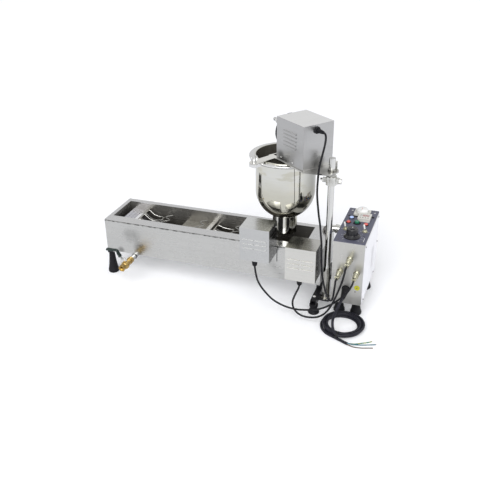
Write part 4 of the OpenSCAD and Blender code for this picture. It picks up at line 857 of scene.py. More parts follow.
class Shape:
    """A mesh in the making, in the frame's metres.

    PRINT is the thickness of printed words, and HEAD_RINGS and HEAD_SIDES divide a screw head.
    """

    PRINT = 0.08
    HEAD_RINGS = 12
    HEAD_SIDES = 48

    def __init__(self) -> None:
        """Starts with no faces and the first finish."""
        self.mesh = bmesh.new()
        self.finish = 0

    def ring(self, points: Iterable[Vector]) -> list[bmesh.types.BMVert]:
        """Adds a ring of corners."""
        return [self.mesh.verts.new(point) for point in points]

    def face(self, corners: Sequence[bmesh.types.BMVert]) -> None:
        """Adds one face in the current finish."""
        face = self.mesh.faces.new(corners)
        face.material_index, face.smooth = self.finish, True

    def strip(self, rings: Sequence[Sequence[bmesh.types.BMVert]]) -> None:
        """Joins rings of corners one after another; a ring of one corner is a tip.

        Args:
            rings: The rings in order.
        """
        for low, high in zip(rings, rings[1:]):
            sides = max(len(low), len(high))
            for k in range(sides):
                n = (k + 1) % sides
                if len(low) == 1:
                    self.face((low[0], high[k], high[n]))
                elif len(high) == 1:
                    self.face((low[n], low[k], high[0]))
                else:
                    self.face((low[k], high[k], high[n], low[n]))

    def lathe(self, place: Matrix, profile: Profile, sides: int, flutes: int = 0) -> "Shape":
        """Turns a profile about the piece's own Z.

        Args:
            place: Placement of the piece.
            profile: Points of radius, height and, where it is fluted, depth of the flutes.
            sides: Number of faces round it.
            flutes: Number of flutes round it.

        Returns:
            The shape itself.
        """
        rings = []
        for radius, height, *rest in profile:
            if radius == 0.0:
                rings.append(self.ring([place @ Vector((0, 0, height))]))
                continue
            depth = rest[0] if rest else 0.0
            radii = [radius - depth * (0.5 + 0.5 * math.cos(flutes * a)) for a in bearings(sides)]
            rings.append(self.ring(place @ Vector((r * math.cos(a), r * math.sin(a), height))
                                   for r, a in zip(radii, bearings(sides))))
        self.strip(rings)
        return self

    def tube(self, path: Sequence[Vector], radius: float | Callable[[float], float], sides: int,
             flat: float = 1.0) -> "Shape":
        """Sweeps a round section along a path.

        Args:
            path: Points in metres.
            radius: Radius, or a rule that gives it from 0 to 1 along the path.
            sides: Number of faces round it.
            flat: Share of the height left in the section.

        Returns:
            The shape itself.
        """
        last = len(path) - 1
        heading = (path[1] - path[0]).normalized()
        across = heading.cross(Vector((0, 0, 1)))
        across = (across if across.length > 0.1 else heading.cross(Vector((1, 0, 0)))).normalized()
        rings = []
        for i, point in enumerate(path):
            heading = (path[min(i + 1, last)] - path[max(i - 1, 0)]).normalized()
            across = (across - heading * across.dot(heading)).normalized()
            above = heading.cross(across)
            r = (radius(i / last) if callable(radius) else radius) * MM
            rings.append(self.ring(point + (across * math.cos(a) + above * math.sin(a) * flat) * r
                                   for a in bearings(sides)))
        self.strip(rings)
        self.face(rings[0])
        self.face(rings[-1][::-1])
        return self

    def relief(self, place: Matrix, radius: float, height: Callable[[float, float], float]) -> "Shape":
        """Adds a round face over a wall.

        Args:
            place: Placement of the face.
            radius: Its radius.
            height: Rule that gives its height from its own X and Y.

        Returns:
            The shape itself.
        """
        rows = [self.ring([place @ Vector((0, 0, height(0.0, 0.0)))])]
        around = [(math.cos(a), math.sin(a)) for a in bearings(self.HEAD_SIDES)]
        for i in range(1, self.HEAD_RINGS + 1):
            r = radius * i / self.HEAD_RINGS
            rows.append(self.ring(place @ Vector((r * c, r * s, height(r * c, r * s))) for c, s in around))
        rows.append(self.ring(place @ Vector((radius * c, radius * s, 0.0)) for c, s in around))
        self.strip(rows)
        return self

    def merge(self, other: bmesh.types.BMesh, place: Matrix) -> "Shape":
        """Takes in a mesh made in its own millimetres.

        Args:
            other: The mesh, which is used up.
            place: Its placement.

        Returns:
            The shape itself.
        """
        for face in other.faces:
            face.material_index, face.smooth = self.finish, True
        other.transform(place)
        spare = bpy.data.meshes.new("spare")
        other.to_mesh(spare)
        self.mesh.from_mesh(spare)
        bpy.data.meshes.remove(spare)
        other.free()
        return self

    def block(self, place: Matrix, size: Point, edge: float, middle: Point | None = None) -> "Shape":
        """Adds a block with eased edges.

        Args:
            place: Placement of the block.
            size: Its length, width and height.
            edge: Width of the eased edges.
            middle: Its middle in the placement, or nothing where it stands there.

        Returns:
            The shape itself.
        """
        l, w, h = size
        x, y, z = middle or (0.0, 0.0, h / 2)
        part = bmesh.new()
        base = part.faces.new([part.verts.new((x + l / 2 * i, y + w / 2 * j, z - h / 2))
                               for i, j in ((-1, -1), (1, -1), (1, 1), (-1, 1))])
        raised = bmesh.ops.extrude_face_region(part, geom=[base])["geom"]
        bmesh.ops.translate(part, vec=(0, 0, (z + h / 2) - (z - h / 2)),
                            verts=[v for v in raised if isinstance(v, bmesh.types.BMVert)])
        bmesh.ops.recalc_face_normals(part, faces=part.faces)
        if edge:
            bmesh.ops.bevel(part, geom=[e for e in part.edges if e.calc_face_angle(0) > 0.5], offset=edge,
                            segments=2, affect="EDGES", clamp_overlap=True)
        return self.merge(part, place)

    def words(self, place: Matrix, words: str, size: float) -> "Shape":
        """Adds a plain printed number or ON and OFF.

        Args:
            place: Placement of its middle.
            words: What is printed.
            size: Height of the letters.

        Returns:
            The shape itself.
        """
        curve = bpy.data.curves.new("print", "FONT")
        curve.body, curve.size, curve.extrude = words, size, self.PRINT / 2
        curve.align_x, curve.align_y, curve.resolution_u = "CENTER", "CENTER", 4
        holder = stand("print", curve)
        bpy.context.view_layer.update()
        mesh = bpy.data.meshes.new_from_object(holder.evaluated_get(bpy.context.evaluated_depsgraph_get()))
        part = bmesh.new()
        part.from_mesh(mesh)
        bpy.data.objects.remove(holder)
        bpy.data.meshes.remove(mesh)
        return self.merge(part, place)

    def piece(self, name: str, body: Body | None, *finishes: str, slot: str = "black plastic",
              replaces: Sequence[str] = (), crease: float = 35.0) -> bpy.types.Object:
        """Ends the shape as a named piece.

        Args:
            name: The piece's name.
            body: Body that it rides on, or nothing for a piece that rides on none.
            *finishes: Its finishes in the order of the faces' numbers.
            slot: Name of a material slot; not used.
            replaces: CAD nodes that it stands for.
            crease: Angle from which edges stay sharp, in degrees.

        Returns:
            The piece.
        """
        bmesh.ops.recalc_face_normals(self.mesh, faces=self.mesh.faces)
        limit = math.radians(crease)
        for edge in self.mesh.edges:
            edge.smooth = len(edge.link_faces) == 2 and edge.calc_face_angle(0.0) < limit
        mesh = bpy.data.meshes.new(name)
        self.mesh.to_mesh(mesh)
        self.mesh.free()
        for finish in finishes:
            mesh.materials.append(material(finish))
        made = stand(name, mesh)
        if body:
            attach(made, body.value)
        if replaces:
            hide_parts(*replaces)
        LOG.info("made %s with %d faces", name, len(mesh.polygons))
        return made


def cross_head(radius: float, rise: float) -> Callable[[float, float], float]:
    """Makes the height rule of a domed screw head with a cross recess.

    Args:
        radius: Radius of the head.
        rise: Height of its dome.

    Returns:
        The rule.
    """
    def height(x: float, y: float) -> float:
        """Gives the height at a point of the head.

        Args:
            x: Place across it.
            y: Place up it.

        Returns:
            The height.
        """
        low, high = sorted((abs(x), abs(y)))
        recess = rise * 0.75 if low < radius * 0.13 and high < radius * 0.55 else 0.0
        return rise * (1 - 0.75 * (math.hypot(x, y) / radius) ** 4) - recess
    return height


def screws(name: str, body: Body, places: Sequence[Matrix], radius: float,
           finish: str = "plated screws") -> None:
    """Makes a group of like screw heads, each on its washer.

    Args:
        name: Name of the group.
        body: Body that they ride on.
        places: Placements of the heads.
        radius: Radius of a head.
        finish: Their finish.
    """
    shape = Shape()
    washer = [(radius * r, h) for r, h in ((0.5, 0.0), (1.45, 0.0), (1.45, 0.5), (0.9, 0.6))]
    for place in places:
        shape.lathe(place, washer, 32)
        shape.relief(place @ Matrix.Translation((0, 0, 0.4)), radius, cross_head(radius, radius * 0.62))
    shape.piece(name, body, finish, slot="polished steel")


@dataclass
class Studio:
    """Camera, pale floor and soft lights, in metres.

    Attributes:
        camera_place: Where the camera stands.
        camera_axes: Its right, up and back directions.
        lens: Focal length for a sensor 36 wide.
        half: Half the floor's width.
        ambient: Light of the surroundings on the object.
        key: Light of the key lamp on a face that looks at it.
        key_width: Width of the key lamp as an angle.
        key_side: Where the key lamp stands, as a direction.
        lamps: Soft lamps: name, place, aim and width and height.
        power: Power of a soft lamp.
    """

    camera_place: Point = (0.82985, -2.16424, 1.39676)
    camera_axes: tuple[Point, Point, Point] = (
        (0.940041, 0.340739, -0.014832), (-0.145176, 0.439112, 0.886626), (0.308621, -0.831311, 0.46225))
    lens: float = 50.733
    half: float = 30.0
    ambient: float = 0.44
    key: float = 0.86
    key_width: float = 56.0
    key_side: Point = (0.12, -1.15, 1.0)
    lamps: tuple[tuple[str, Point, Point, Pair], ...] = (
        ("front_lamp", (-1.3, -2.3, 1.9), (0.0, 0.0, 0.3), (1.6, 1.6)),
        ("side_lamp", (2.3, 0.1, 1.3), (0.3, 0.0, 0.2), (1.4, 1.2)))
    power: float = 7.0

    def build_camera(self) -> None:
        """Stands the camera where the photograph was taken from."""
        data = bpy.data.cameras.new("camera")
        data.lens, data.sensor_width, data.clip_end = self.lens, 36.0, 100.0
        basis = Matrix(self.camera_axes).transposed().to_4x4()
        bpy.context.scene.camera = stand("camera", data, Matrix.Translation(self.camera_place) @ basis)

    def build_floor(self) -> None:
        """Lays a wide pale floor that keeps the machine's shadow."""
        mesh = bpy.data.meshes.new("studio_floor")
        mesh.from_pydata([(self.half * x, self.half * y, 0) for x, y in ((-1, -1), (1, -1), (1, 1), (-1, 1))],
                         [], [(0, 1, 2, 3)])
        tree = ShaderTree("studio floor", roughness=0.9, specular_ior_level=0.0,
                          emission_color=(1.0, 1.0, 1.0))
        speck = tree.noise(tree.place(), 6.0)
        tree.shade(base_color=tree.mix(speck, (0.915, 0.92, 0.945), (0.925, 0.93, 0.95)),
                   emission_strength=tree.seen().ramp(0.0, 1.0, 0.0, 0.10))
        mesh.materials.append(tree.material)
        stand("studio_floor", mesh)

    def build_world(self) -> None:
        """Surrounds the machine with even light before a white background."""
        world = bpy.data.worlds.new("studio")
        bpy.context.scene.world = world
        tree = NodeTree(world)
        light = tree.node("ShaderNodeBackground", {0: (0.97, 0.98, 1.0), 1: self.ambient})
        white = tree.node("ShaderNodeBackground", {0: (1.0, 1.0, 1.0), 1: 1.0})
        shown = tree.node("ShaderNodeMixShader", {0: tree.seen(), 1: light, 2: white})
        tree.end("ShaderNodeOutputWorld", shown)

    def build_lamps(self) -> None:
        """Hangs the wide key light above and in front, and a soft lamp at each side."""
        key = bpy.data.lights.new("key_lamp", "SUN")
        key.energy, key.angle = self.key * math.pi, math.radians(self.key_width)
        stand("key_lamp", key, self.looking(-Vector(self.key_side)))
        for name, place, aim, size in self.lamps:
            data = bpy.data.lights.new(name, "AREA")
            data.shape, data.energy, (data.size, data.size_y) = "RECTANGLE", self.power, size
            stand(name, data, Matrix.Translation(place) @ self.looking(Vector(aim) - Vector(place)))

    def looking(self, way: Vector) -> Matrix:
        """Gives the turn of a lamp that shines in a direction."""
        return way.to_track_quat("-Z", "Y").to_matrix().to_4x4()

    def build(self) -> None:
        """Sets the view and builds camera, floor, surroundings and lamps."""
        bpy.context.scene.view_settings.view_transform = "Standard"
        for step in (self.build_camera, self.build_floor, self.build_world, self.build_lamps):
            step()
            LOG.info("%s done", step.__name__)


class Assembly:
    """A group of the machine's parts: finishes for CAD nodes, and pieces of its own."""

    DRESS: dict[str, str] = {}

    def build(self) -> None:
        """Dresses the CAD nodes that DRESS lists by finish, then makes the pieces."""
        for finish, nodes in self.DRESS.items():
            for node in nodes.split():
                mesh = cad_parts[node].data
                if not mesh.materials:
                    mesh.materials.append(None)
                for i in range(len(mesh.materials)):
                    mesh.materials[i] = material(finish)
                LOG.info("dressed %s in %s", node, finish)
        self.make()

    def make(self) -> None:
        """Makes no pieces."""


@dataclass
class Cable:
    """One free cable that leaves the machine and goes back into it.

    Attributes:
        name: Name of the piece.
        node: CAD node that it stands for.
        route: Points that it goes through.
        body: Body that it rides on.
        bends: Two bodies, with the points where a bend starts and ends; they only lead to the cable's
            placement being baked into its mesh, and no bend is made.
        diameter: Its diameter.
    """

    name: str
    node: str
    route: Sequence[Point]
    body: Body | None = Body.FRAME
    bends: tuple[Body, Body, Point, Point] | None = None
    diameter: float = 7.0

    def build(self) -> None:
        path = smooth_route([at(*p) for p in self.route], 6)
        made = Shape().tube(path, self.diameter / 2, 16).piece(
            self.name, self.body, "cable sheath", slot="cable rubber", replaces=[self.node])
        if self.bends:
            first, second, start, end = self.bends
            at(*start)
            at(*end)
            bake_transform(made)
        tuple(path[0])
        path_length(path)


@dataclass
class MainsLead:
    """Mains lead: down from its boot, wound into a coil, with bare conductors at its end.

    ROUTE goes from the boot to the coil, and each of the WIRES starts at the lead's tip. STRANDS are the
    middles of the windings under the tie, outwards from the coil's middle and up, and LOCK_SIZE is
    the size of the tie's lock.

    Attributes:
        diameter: Diameter of the lead.
        centre: Middle of the coil.
        start: Direction of the coil's first point, in degrees.
        outer: Radius of the outer turn.
        step: Step between turns.
        turns: Turns in one layer.
        low: Height of the lower layer's middle.
        rise: Height between the layers.
        tail: Length of the straight tail.
        wire: Diameter of a conductor.
        spread: How far each conductor leaves from the lead's middle.
        tie_bearing: Where the tie straps the coil, in degrees.
        tie_inner: Distance of the strap's inside from a strand's middle.
        tie_outer: Distance of its outside.
        tie_half: Half its width.
        lock: Place of its lock, outwards from the coil's middle and up.
    """

    diameter: float = 10.0
    centre: Pair = (989.0, -88.0)
    start: float = 290.0
    outer: float = 77.0
    step: float = 12.2
    turns: float = 1.7
    low: float = 5.2
    rise: float = 11.0
    tail: float = 56.0
    wire: float = 3.5
    spread: float = 2.8
    tie_bearing: float = 268.0
    tie_inner: float = 5.1
    tie_outer: float = 5.8
    tie_half: float = 2.2
    lock: Pair = (73.0, 24.4)

    ROUTE = (
        (984, -96, 122), (983, -105, 120), (979, -115, 113), (975, -122, 101), (970, -126, 86),
        (965, -127, 70), (962, -128, 55), (961, -131, 43), (963, -138, 34), (967, -148, 28),
        (974, -159, 23), (984, -167, 19), (996, -170, 17))
    WIRES = {
        "earth wire": ((0, 0, 0), (12, 3, -1), (26, 9, -3), (44, 20, -3.4), (62, 30, -3.4), (78, 42, -3.4)),
        "blue wire": ((0, 0, 0), (12, 0, -1), (28, 5, -4), (50, 13, -5.8), (74, 22, -5.8), (96, 31, -5.8)),
        "brown wire": ((0, 0, 0), (12, -4, -1), (28, -5, -3), (50, -2, -3.4), (72, 5, -3.4), (90, 11, -3.4))}
    LOCK_SIZE = (6.5, 6.0, 4.2)
    STRANDS = ((56.3, 10.9), (65.4, 5.2), (65.4, 16.2), (79.4, 5.2), (79.4, 18.8))

    def coil_point(self, degrees: float) -> Vector:
        """Gives a point of the coil: the top layer winds in, drops, and the bottom layer winds out.

        Args:
            degrees: Turn from the coil's first point.

        Returns:
            The point, in metres.
        """
        layer = self.turns * 360
        radius = self.outer - self.step * min(degrees, layer, 2 * layer + 180 - degrees) / 360
        height = self.low + self.rise * (1 - min(1.0, max(0.0, (degrees - layer) / 180)))
        return at(*around(self.centre, radius, self.start + degrees), height)

    def build(self) -> None:
        total = 2 * self.turns * 360 + 180
        count = int(total / 360 * 24)
        coil = [self.coil_point(i * total / count) for i in range(count + 1)]
        way = (coil[-1] - coil[-2]).normalized()
        end = coil[-1] + way * self.diameter * MM
        tip = end + way * self.tail * MM
        path = smooth_route([at(*p) for p in self.ROUTE] + coil + [end, (end + tip) / 2, tip], 3)
        lead = Shape().tube(path, self.diameter / 2, 18).piece(
            "mains_lead_sheath", Body.FRAME, "lead sheath", slot="cable rubber",
            replaces=["mains_lead", "mains_coil"])
        side = Vector((0, 0, 1)).cross(way) * self.spread * MM
        starts = (side, Vector((0, 0, self.spread * MM)), -side)
        pieces = [self.build_wire(finish, [tip - way * MM + start + Vector(p) * MM for p in route])
                  for start, (finish, route) in zip(starts, self.WIRES.items())]
        pieces.append(self.build_tie())
        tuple(path[0])
        path_length(path)

    def build_wire(self, finish: str, route: Sequence[Vector]) -> bpy.types.Object:
        """Builds one conductor with its bare end.

        Args:
            finish: Finish of its sleeve.
            route: Points that it goes through, in metres.

        Returns:
            The piece.
        """
        line = smooth_route(route, 6)
        shape = Shape().tube(line[:-1], self.wire / 2, 12)
        shape.finish = 1
        shape.tube(line[-3:], self.wire * 0.3, 10)
        return shape.piece(finish.replace(" ", "_"), Body.FRAME, finish, "copper", slot="conductor",
                           replaces=["mains_wires"])

    def wrap(self, radius: float) -> list[Pair]:
        """Gives the points of circles round the coil's strands, lifted off the floor.

        Args:
            radius: Radius of the circles.

        Returns:
            Points outwards from the coil's middle and up.
        """
        floor = (self.tie_outer - radius) * 0.4 + 0.05
        around = [math.radians(15 * k + 4) for k in range(24)]
        return [(r + radius * math.cos(a), max(z + radius * math.sin(a), floor))
                for r, z in self.STRANDS for a in around]

    def build_tie(self) -> bpy.types.Object:
        """Straps the coil with a narrow tie whose end sticks out.

        Returns:
            The tie's piece.
        """
        bearing = math.radians(self.tie_bearing)
        out = Vector((math.cos(bearing), math.sin(bearing), 0))
        along = out.cross(Vector((0, 0, 1)))
        middle = at(*self.centre, 0)
        order = geometry.convex_hull_2d([Vector(p) for p in self.wrap(self.tie_outer)])
        shape = Shape()
        rings = []
        for width, radius in ((-self.tie_half, self.tie_inner), (-self.tie_half, self.tie_outer),
                              (self.tie_half, self.tie_outer), (self.tie_half, self.tie_inner)):
            points = self.wrap(radius)
            rings.append(shape.ring(middle + (out * points[i][0] + Vector((0, 0, points[i][1]))
                                              + along * width) * MM for i in order))
        shape.strip(rings)
        reach, high = self.lock
        hold = Matrix.Translation(middle + (out * reach + Vector((0, 0, high))) * MM)
        basis = Matrix((along, out, along.cross(out))).transposed().to_4x4()
        shape.block(hold @ basis @ Matrix.Scale(MM, 4), self.LOCK_SIZE, 0.6, (0, 0, 0))
        tail = [middle + (out * (reach + 2 + 4 * k) + Vector((0, 0, high + 1 - 0.25 * k * k))
                          + along * 0.6 * k) * MM for k in range(6)]
        shape.tube(tail, 2.0, 8, flat=0.35)
        return shape.piece("lead_tie", Body.FRAME, "tie plastic")


class Cables(Assembly):
    """The three drive cables, in four stretches, and the mains lead."""

    HEAD_UPPER = (
        (875, -22, 689), (881, -28, 688), (886, -36, 682), (888, -45, 670), (887, -54, 652),
        (883, -61, 627), (878, -66, 600), (875, -68, 575), (874, -70, 550), (873, -71, 515),
        (874, -71, 483), (878, -71, 447), (883, -71, 410), (888, -71, 381), (892, -71, 344))
    HEAD_LOWER = (
        (892, -71, 344), (896, -71, 307), (898, -73, 266), (901, -77, 228), (906, -82, 195),
        (914, -90, 165), (924, -98, 140), (934, -106, 124), (944, -114, 118), (952, -120, 126),
        (957, -124, 145), (959, -125, 165), (960, -121, 183), (959, -112, 193), (959, -103, 196),
        (959, -96, 196))
    LEFT = (
        (655, -75, 195), (655, -75, 182), (657, -75, 165), (661, -76, 144), (668, -77, 122),
        (682, -78, 99), (701, -79, 78), (724, -80, 58), (751, -81, 45), (782, -82, 37),
        (815, -83, 35), (848, -85, 40), (877, -88, 48), (904, -93, 61), (926, -99, 77),
        (946, -107, 96), (965, -116, 117), (982, -124, 139), (997, -129, 160), (1009, -130, 178),
        (1016, -124, 192), (1018, -112, 197), (1018, -103, 197), (1018, -96, 197))
    RIGHT = (
        (823, -75, 146), (823, -75, 134), (820, -77, 120), (813, -80, 103), (807, -83, 86),
        (803, -86, 70), (805, -90, 53), (813, -94, 39), (829, -98, 28), (850, -101, 23),
        (876, -103, 25), (900, -106, 34), (920, -110, 50), (936, -115, 72), (949, -120, 98),
        (960, -125, 126), (970, -129, 156), (979, -131, 186), (986, -130, 212), (990, -124, 234),
        (991, -114, 247), (991, -105, 250), (991, -96, 250))

    def make(self) -> None:
        """Builds every cable."""
        Cable("head_cable_upper", "hopper_cable_upper", self.HEAD_UPPER, None,
              (Body.HEAD, Body.COLLAR, (874, -70, 640), (890, -71, 370))).build()
        Cable("head_cable_lower", "hopper_cable_lower", self.HEAD_LOWER, None,
              (Body.COLLAR, Body.FRAME, (893, -71, 330), (905, -80, 200))).build()
        Cable("left_drive_cable", "left_cable", self.LEFT).build()
        Cable("right_drive_cable", "right_cable", self.RIGHT).build()
        MainsLead().build()


@dataclass
class Trough(Assembly):
    """Casing, tank, tray, plate, heater, feet and their small fasteners.

    Attributes:
        screw: Place of the screw that holds the frame.
        strip: Middle of a black strip between the drive covers that stands in for the shadow in the gap
            between the left cover and the casing.
        shadow_strip_size: Size of that strip.
    """

    screw: Point = (865.0, -13.0, 58.0)
    strip: Point = (715.6, -0.5, 198.5)
    shadow_strip_size: Point = (2.6, 1.2, 53.0)

    DRESS = {
        "casing sheet": "trough_casing", "rim and tank sheet": "oil_tank", "tray sheet": "drain_tray",
        "plate sheet": "turning_plate", "heater sheath": "heating_element",
        "black plastic": "trough_feet control_feet", "black enamel": "cross_frame heater_clamp",
        "aluminium": "heater_terminal"}

    def make(self) -> None:
        """Adds the frame's screw and a black strip that stands in for the shadow in the gap by the left drive
        cover.
        """
        screws("frame_screw", Body.FRAME, [seat(*self.screw)], 4.0, "print white")
        # Painted shadow: a thin black strip where the gap between the left drive cover and the casing lies in
        # shade.
        strip = Shape().block(seat(*self.strip), self.shadow_strip_size, 0.4, (0, 0, 0))
        strip.piece("casing_gap_shadow_strip", Body.FRAME, "black plastic")


class Conveyor(Assembly):
    """Chain, flights, sprockets, scoops and their linkage."""

    DRESS = {
        "chain steel": "conveyor_chain idler_sprocket drive_sprocket",
        "bright wire": "conveyor_flights turner_scoop discharge_scoop",
        "bronze": "shaft_bushes", "bright steel": "drive_arm link_rod"}


@dataclass
class Drives(Assembly):
    """Covers, gear motors and cable glands of the two drives.

    A row of COVERS is the place along the trough, the height of the foot and the length of the boot.

    Attributes:
        flange: Place of the covers' screws across the trough.
        wide: Width of a cover.
        screw_heights: Heights of the screws over a cover's foot.
        gland_x: Place of the gland along a cover.
        gland_y: Place of the glands across the trough.
    """

    flange: float = -14.0
    wide: float = 110.0
    screw_heights: Pair = (22.0, 108.0)
    gland_x: float = 49.0
    gland_y: float = -75.0

    DRESS = {"left cover sheet": "left_drive_cover", "right cover sheet": "right_drive_cover",
             "motor enamel": "drive_gearmotors"}
    COVERS = ((606.0, 213.0, 29.0), (774.0, 162.0, 27.0))
    NUT = ((7.0, 0.0), (11.2, 0.0), (11.5, 0.6), (11.5, 5.4), (10.6, 6.0), (8.0, 6.2))
    LOCK_NUT = ((6.0, 0.0), (9.4, 0.0), (9.6, 0.4), (9.6, 3.6), (9.0, 4.0), (6.0, 4.0))

    def make(self) -> None:
        """Adds the covers' screws, and the nut, ribbed boot and lock nut under each cover."""
        places = [seat(x + across, self.flange, z + height, way) for x, z, _ in self.COVERS
                  for height in self.screw_heights for across, way in ((0, LEFT), (self.wide, RIGHT))]
        screws("cover_screws", Body.FRAME, places, 2.4)
        shape = Shape()
        for x, z, drop in self.COVERS:
            spot = (x + self.gland_x, self.gland_y)
            below = seat(*spot, z, DOWN)
            boot = ribs(5, 6.4, (drop - 9.4) / 5, 10.9, 0.5, 0.9, (2.2, 2.5, 3.2))
            shape.lathe(below, self.NUT, 6)
            shape.lathe(below, [(10.9, 6.0), *boot, (8.2, drop - 2.6), (6.6, drop - 0.4), (3.4, drop)], 32)
            shape.lathe(seat(*spot, z + 1.2), self.LOCK_NUT, 6)
            shape.lathe(seat(*spot, z - 1), [(6.0, 0.0), (6.0, 3.0)], 24)
        shape.piece("drive_cover_glands", Body.FRAME, "black plastic", replaces=["cover_glands"])


@dataclass
class Head(Assembly):
    """Post, arm, motor box, hopper, crank and plunger.

    The screws in the motor box's sides are places across it and heights.

    Attributes:
        half: Half the motor box's width.
        back: Place of the box's back face.
        gland: Place of the cable gland across the box.
        gland_height: Its height.
        plate: Height of the arm plate's top.
        underside: Height of the bolts' heads.
        ear: Radius of the ears about the hopper.
        ear_turn: Direction of the first ear, in degrees.
    """

    half: float = 62.5
    back: float = -75.5
    gland: float = -10.0
    gland_height: float = 689.0
    plate: float = 556.0
    underside: float = 542.0
    ear: float = 150.0
    ear_turn: float = 59.5

    DRESS = {
        "post chrome": "post", "socket steel": "post_socket", "aluminium": "post_collar clamp_knob",
        "arm sheet": "arm_plate", "head sheet": "motor_box", "motor enamel": "hopper_gearmotor",
        "hopper mirror": "hopper_bowl", "ring steel": "hopper_ring", "neck steel": "forming_nozzle",
        "bright steel": "plunger connecting_rod", "crank enamel": "crank_disc"}
    LEFT_SCREWS = ((49.0, 568.0), (-15.0, 566.0))
    RIGHT_SCREWS = ((-58.0, 567.0), (49.0, 567.0))
    BOLT = ((0.0, 14.4), (3.4, 14.4), (3.9, 13.6), *thread(12, 3.9, 3.5, 13.2, -1.0), (3.9, 1.0), (3.9, 0.0))
    WASHER = ((4.2, 0.0), (8.4, 0.0), (8.4, 1.2), (7.4, 1.5), (4.2, 1.5))
    WING_HUB = ((4.0, 1.5), (7.2, 1.6), (7.3, 3.2), (6.0, 7.8), (5.3, 9.4), (4.0, 9.6))
    WING = ((4.2, 4.2), (7.2, 6.0), (10.2, 9.6), (12.2, 14.0), (12.9, 18.2), (12.3, 21.0))
    BOLT_HEAD = ((0.0, 5.7), (5.8, 5.7), (6.7, 5.0), (6.9, 0.2), (4.0, 0.2))
    NUT = ((6.0, 0.0), (11.6, 0.0), (12.4, 0.8), (12.4, 7.2), (11.4, 8.0), (8.4, 8.2))
    BOOT = ((8.0, 8.0), *ribs(7, 8.4, 3.7, 8.0, 0.42, 0.8, (2.2, 2.5, 3.3)), (5.2, 34.6), (3.5, 35.0))
    LOCK_NUT = ((6.0, 0.0), (9.6, 0.0), (10.2, 0.5), (10.2, 4.3), (9.4, 4.8), (6.0, 4.8))

    def make(self) -> None:
        """Adds the box's screws, the wing bolts and the cable gland."""
        places = [on_head(-self.half, *place, LEFT) for place in self.LEFT_SCREWS]
        places += [on_head(self.half, *place, RIGHT) for place in self.RIGHT_SCREWS]
        screws("motor_box_screws", Body.HEAD, places, 2.8)
        self.build_wing_bolts()
        self.build_gland()

    def wing_radius(self, t: float) -> float:
        """Gives a wing's radius from its root to its rounded end."""
        return (2.0 + 2.6 * math.sin(math.pi * min(1.0, 0.15 + t * 0.85)) ** 0.8) * 0.8

    def build_wing_bolts(self) -> None:
        """Builds the two bolts with their washers, wing nuts and hexagon heads."""
        shape = Shape()
        for turn in (self.ear_turn, self.ear_turn + 180.0):
            x, y = around(HOPPER_AXIS, self.ear, turn)
            base = seat(x, y, self.plate, turn=turn)
            shape.lathe(base, self.BOLT, 20)
            shape.lathe(base, self.WASHER, 36)
            shape.lathe(base, self.WING_HUB, 32)
            for side in (-1, 1):
                wing = smooth_route([base @ Vector((side * r, 0, z)) for r, z in self.WING], 4)
                shape.tube(wing, self.wing_radius, 12, 0.42)
            shape.lathe(seat(x, y, self.underside, DOWN, self.ear_turn), self.BOLT_HEAD, 6)
            shape.lathe(seat(x, y, self.underside - 5.5), [(4.0, 0.0), (4.0, 20.0)], 20)
        shape.piece("ring_wing_bolts", Body.HEAD, "bright steel", slot="polished steel",
                    replaces=["wing_bolts"], crease=40)

    def build_gland(self) -> None:
        """Builds the nut and ribbed boot of the head's cable."""
        shape = Shape()
        out = on_head(self.gland, self.back, self.gland_height, FRONT)
        shape.lathe(out, self.NUT, 6)
        shape.lathe(out, self.BOOT, 32)
        shape.lathe(out, [(6.0, -3.0), (6.0, 1.0)], 24)
        shape.lathe(on_head(self.gland, self.back + 1.2, self.gland_height, REAR), self.LOCK_NUT, 6)
        shape.piece("motor_box_cable_gland", Body.HEAD, "black plastic", replaces=["motor_box_gland"])


@dataclass
class Drain(Assembly):
    """Drain pipe, brass valve and its lever.

    Attributes:
        outlet: Place of the outlet's open end.
        seal: Place of the pipe's seal on the casing.
        lever: Place of the lever across the trough.
    """

    outlet: Point = (118.0, -104.0, 89.0)
    seal: Point = (118.0, 3.0, 89.0)
    lever: float = -74.0

    DRESS = {"bright steel": "drain_pipe valve_lever", "brass": "valve_body"}
    GRIP = ((99.6, 124.5), (95.2, 132.4), (91.8, 138.8), (89.6, 144.6), (86.0, 148.9), (79.0, 149.5),
            (69.0, 148.6), (56.0, 148.3), (42.5, 148.3))
    THREAD = thread(9, 8.9, 8.3, 0.0, -1.5)
    SEAL = ((9.4, -1.6), (11.6, -1.2), (12.0, 0.0), (11.6, 1.2), (9.4, 1.6))

    def grip_radius(self, t: float) -> float:
        """Gives the sleeve's radius: a collar, a waist and a rounded end."""
        return 9.2 + 1.2 * max(0.0, 1 - t * 14) - 1.0 * math.sin(math.pi * t) ** 2 - 26.0 * max(0.0, t - 0.96)

    def make(self) -> None:
        """Sleeves the lever's grip and adds the outlet's thread and the pipe's seal."""
        route = smooth_route([at(x, self.lever, z) for x, z in self.GRIP], 6)
        Shape().tube(route, self.grip_radius, 20, flat=0.55).piece(
            "lever_grip_sleeve", Body.LEVER, "grip sleeve")
        Shape().lathe(seat(*self.outlet, FRONT), self.THREAD, 40).piece(
            "outlet_thread", Body.FRAME, "brass thread", slot="brass")
        Shape().lathe(seat(*self.seal, FRONT), self.SEAL, 40).piece("pipe_seal", Body.FRAME, "black plastic")


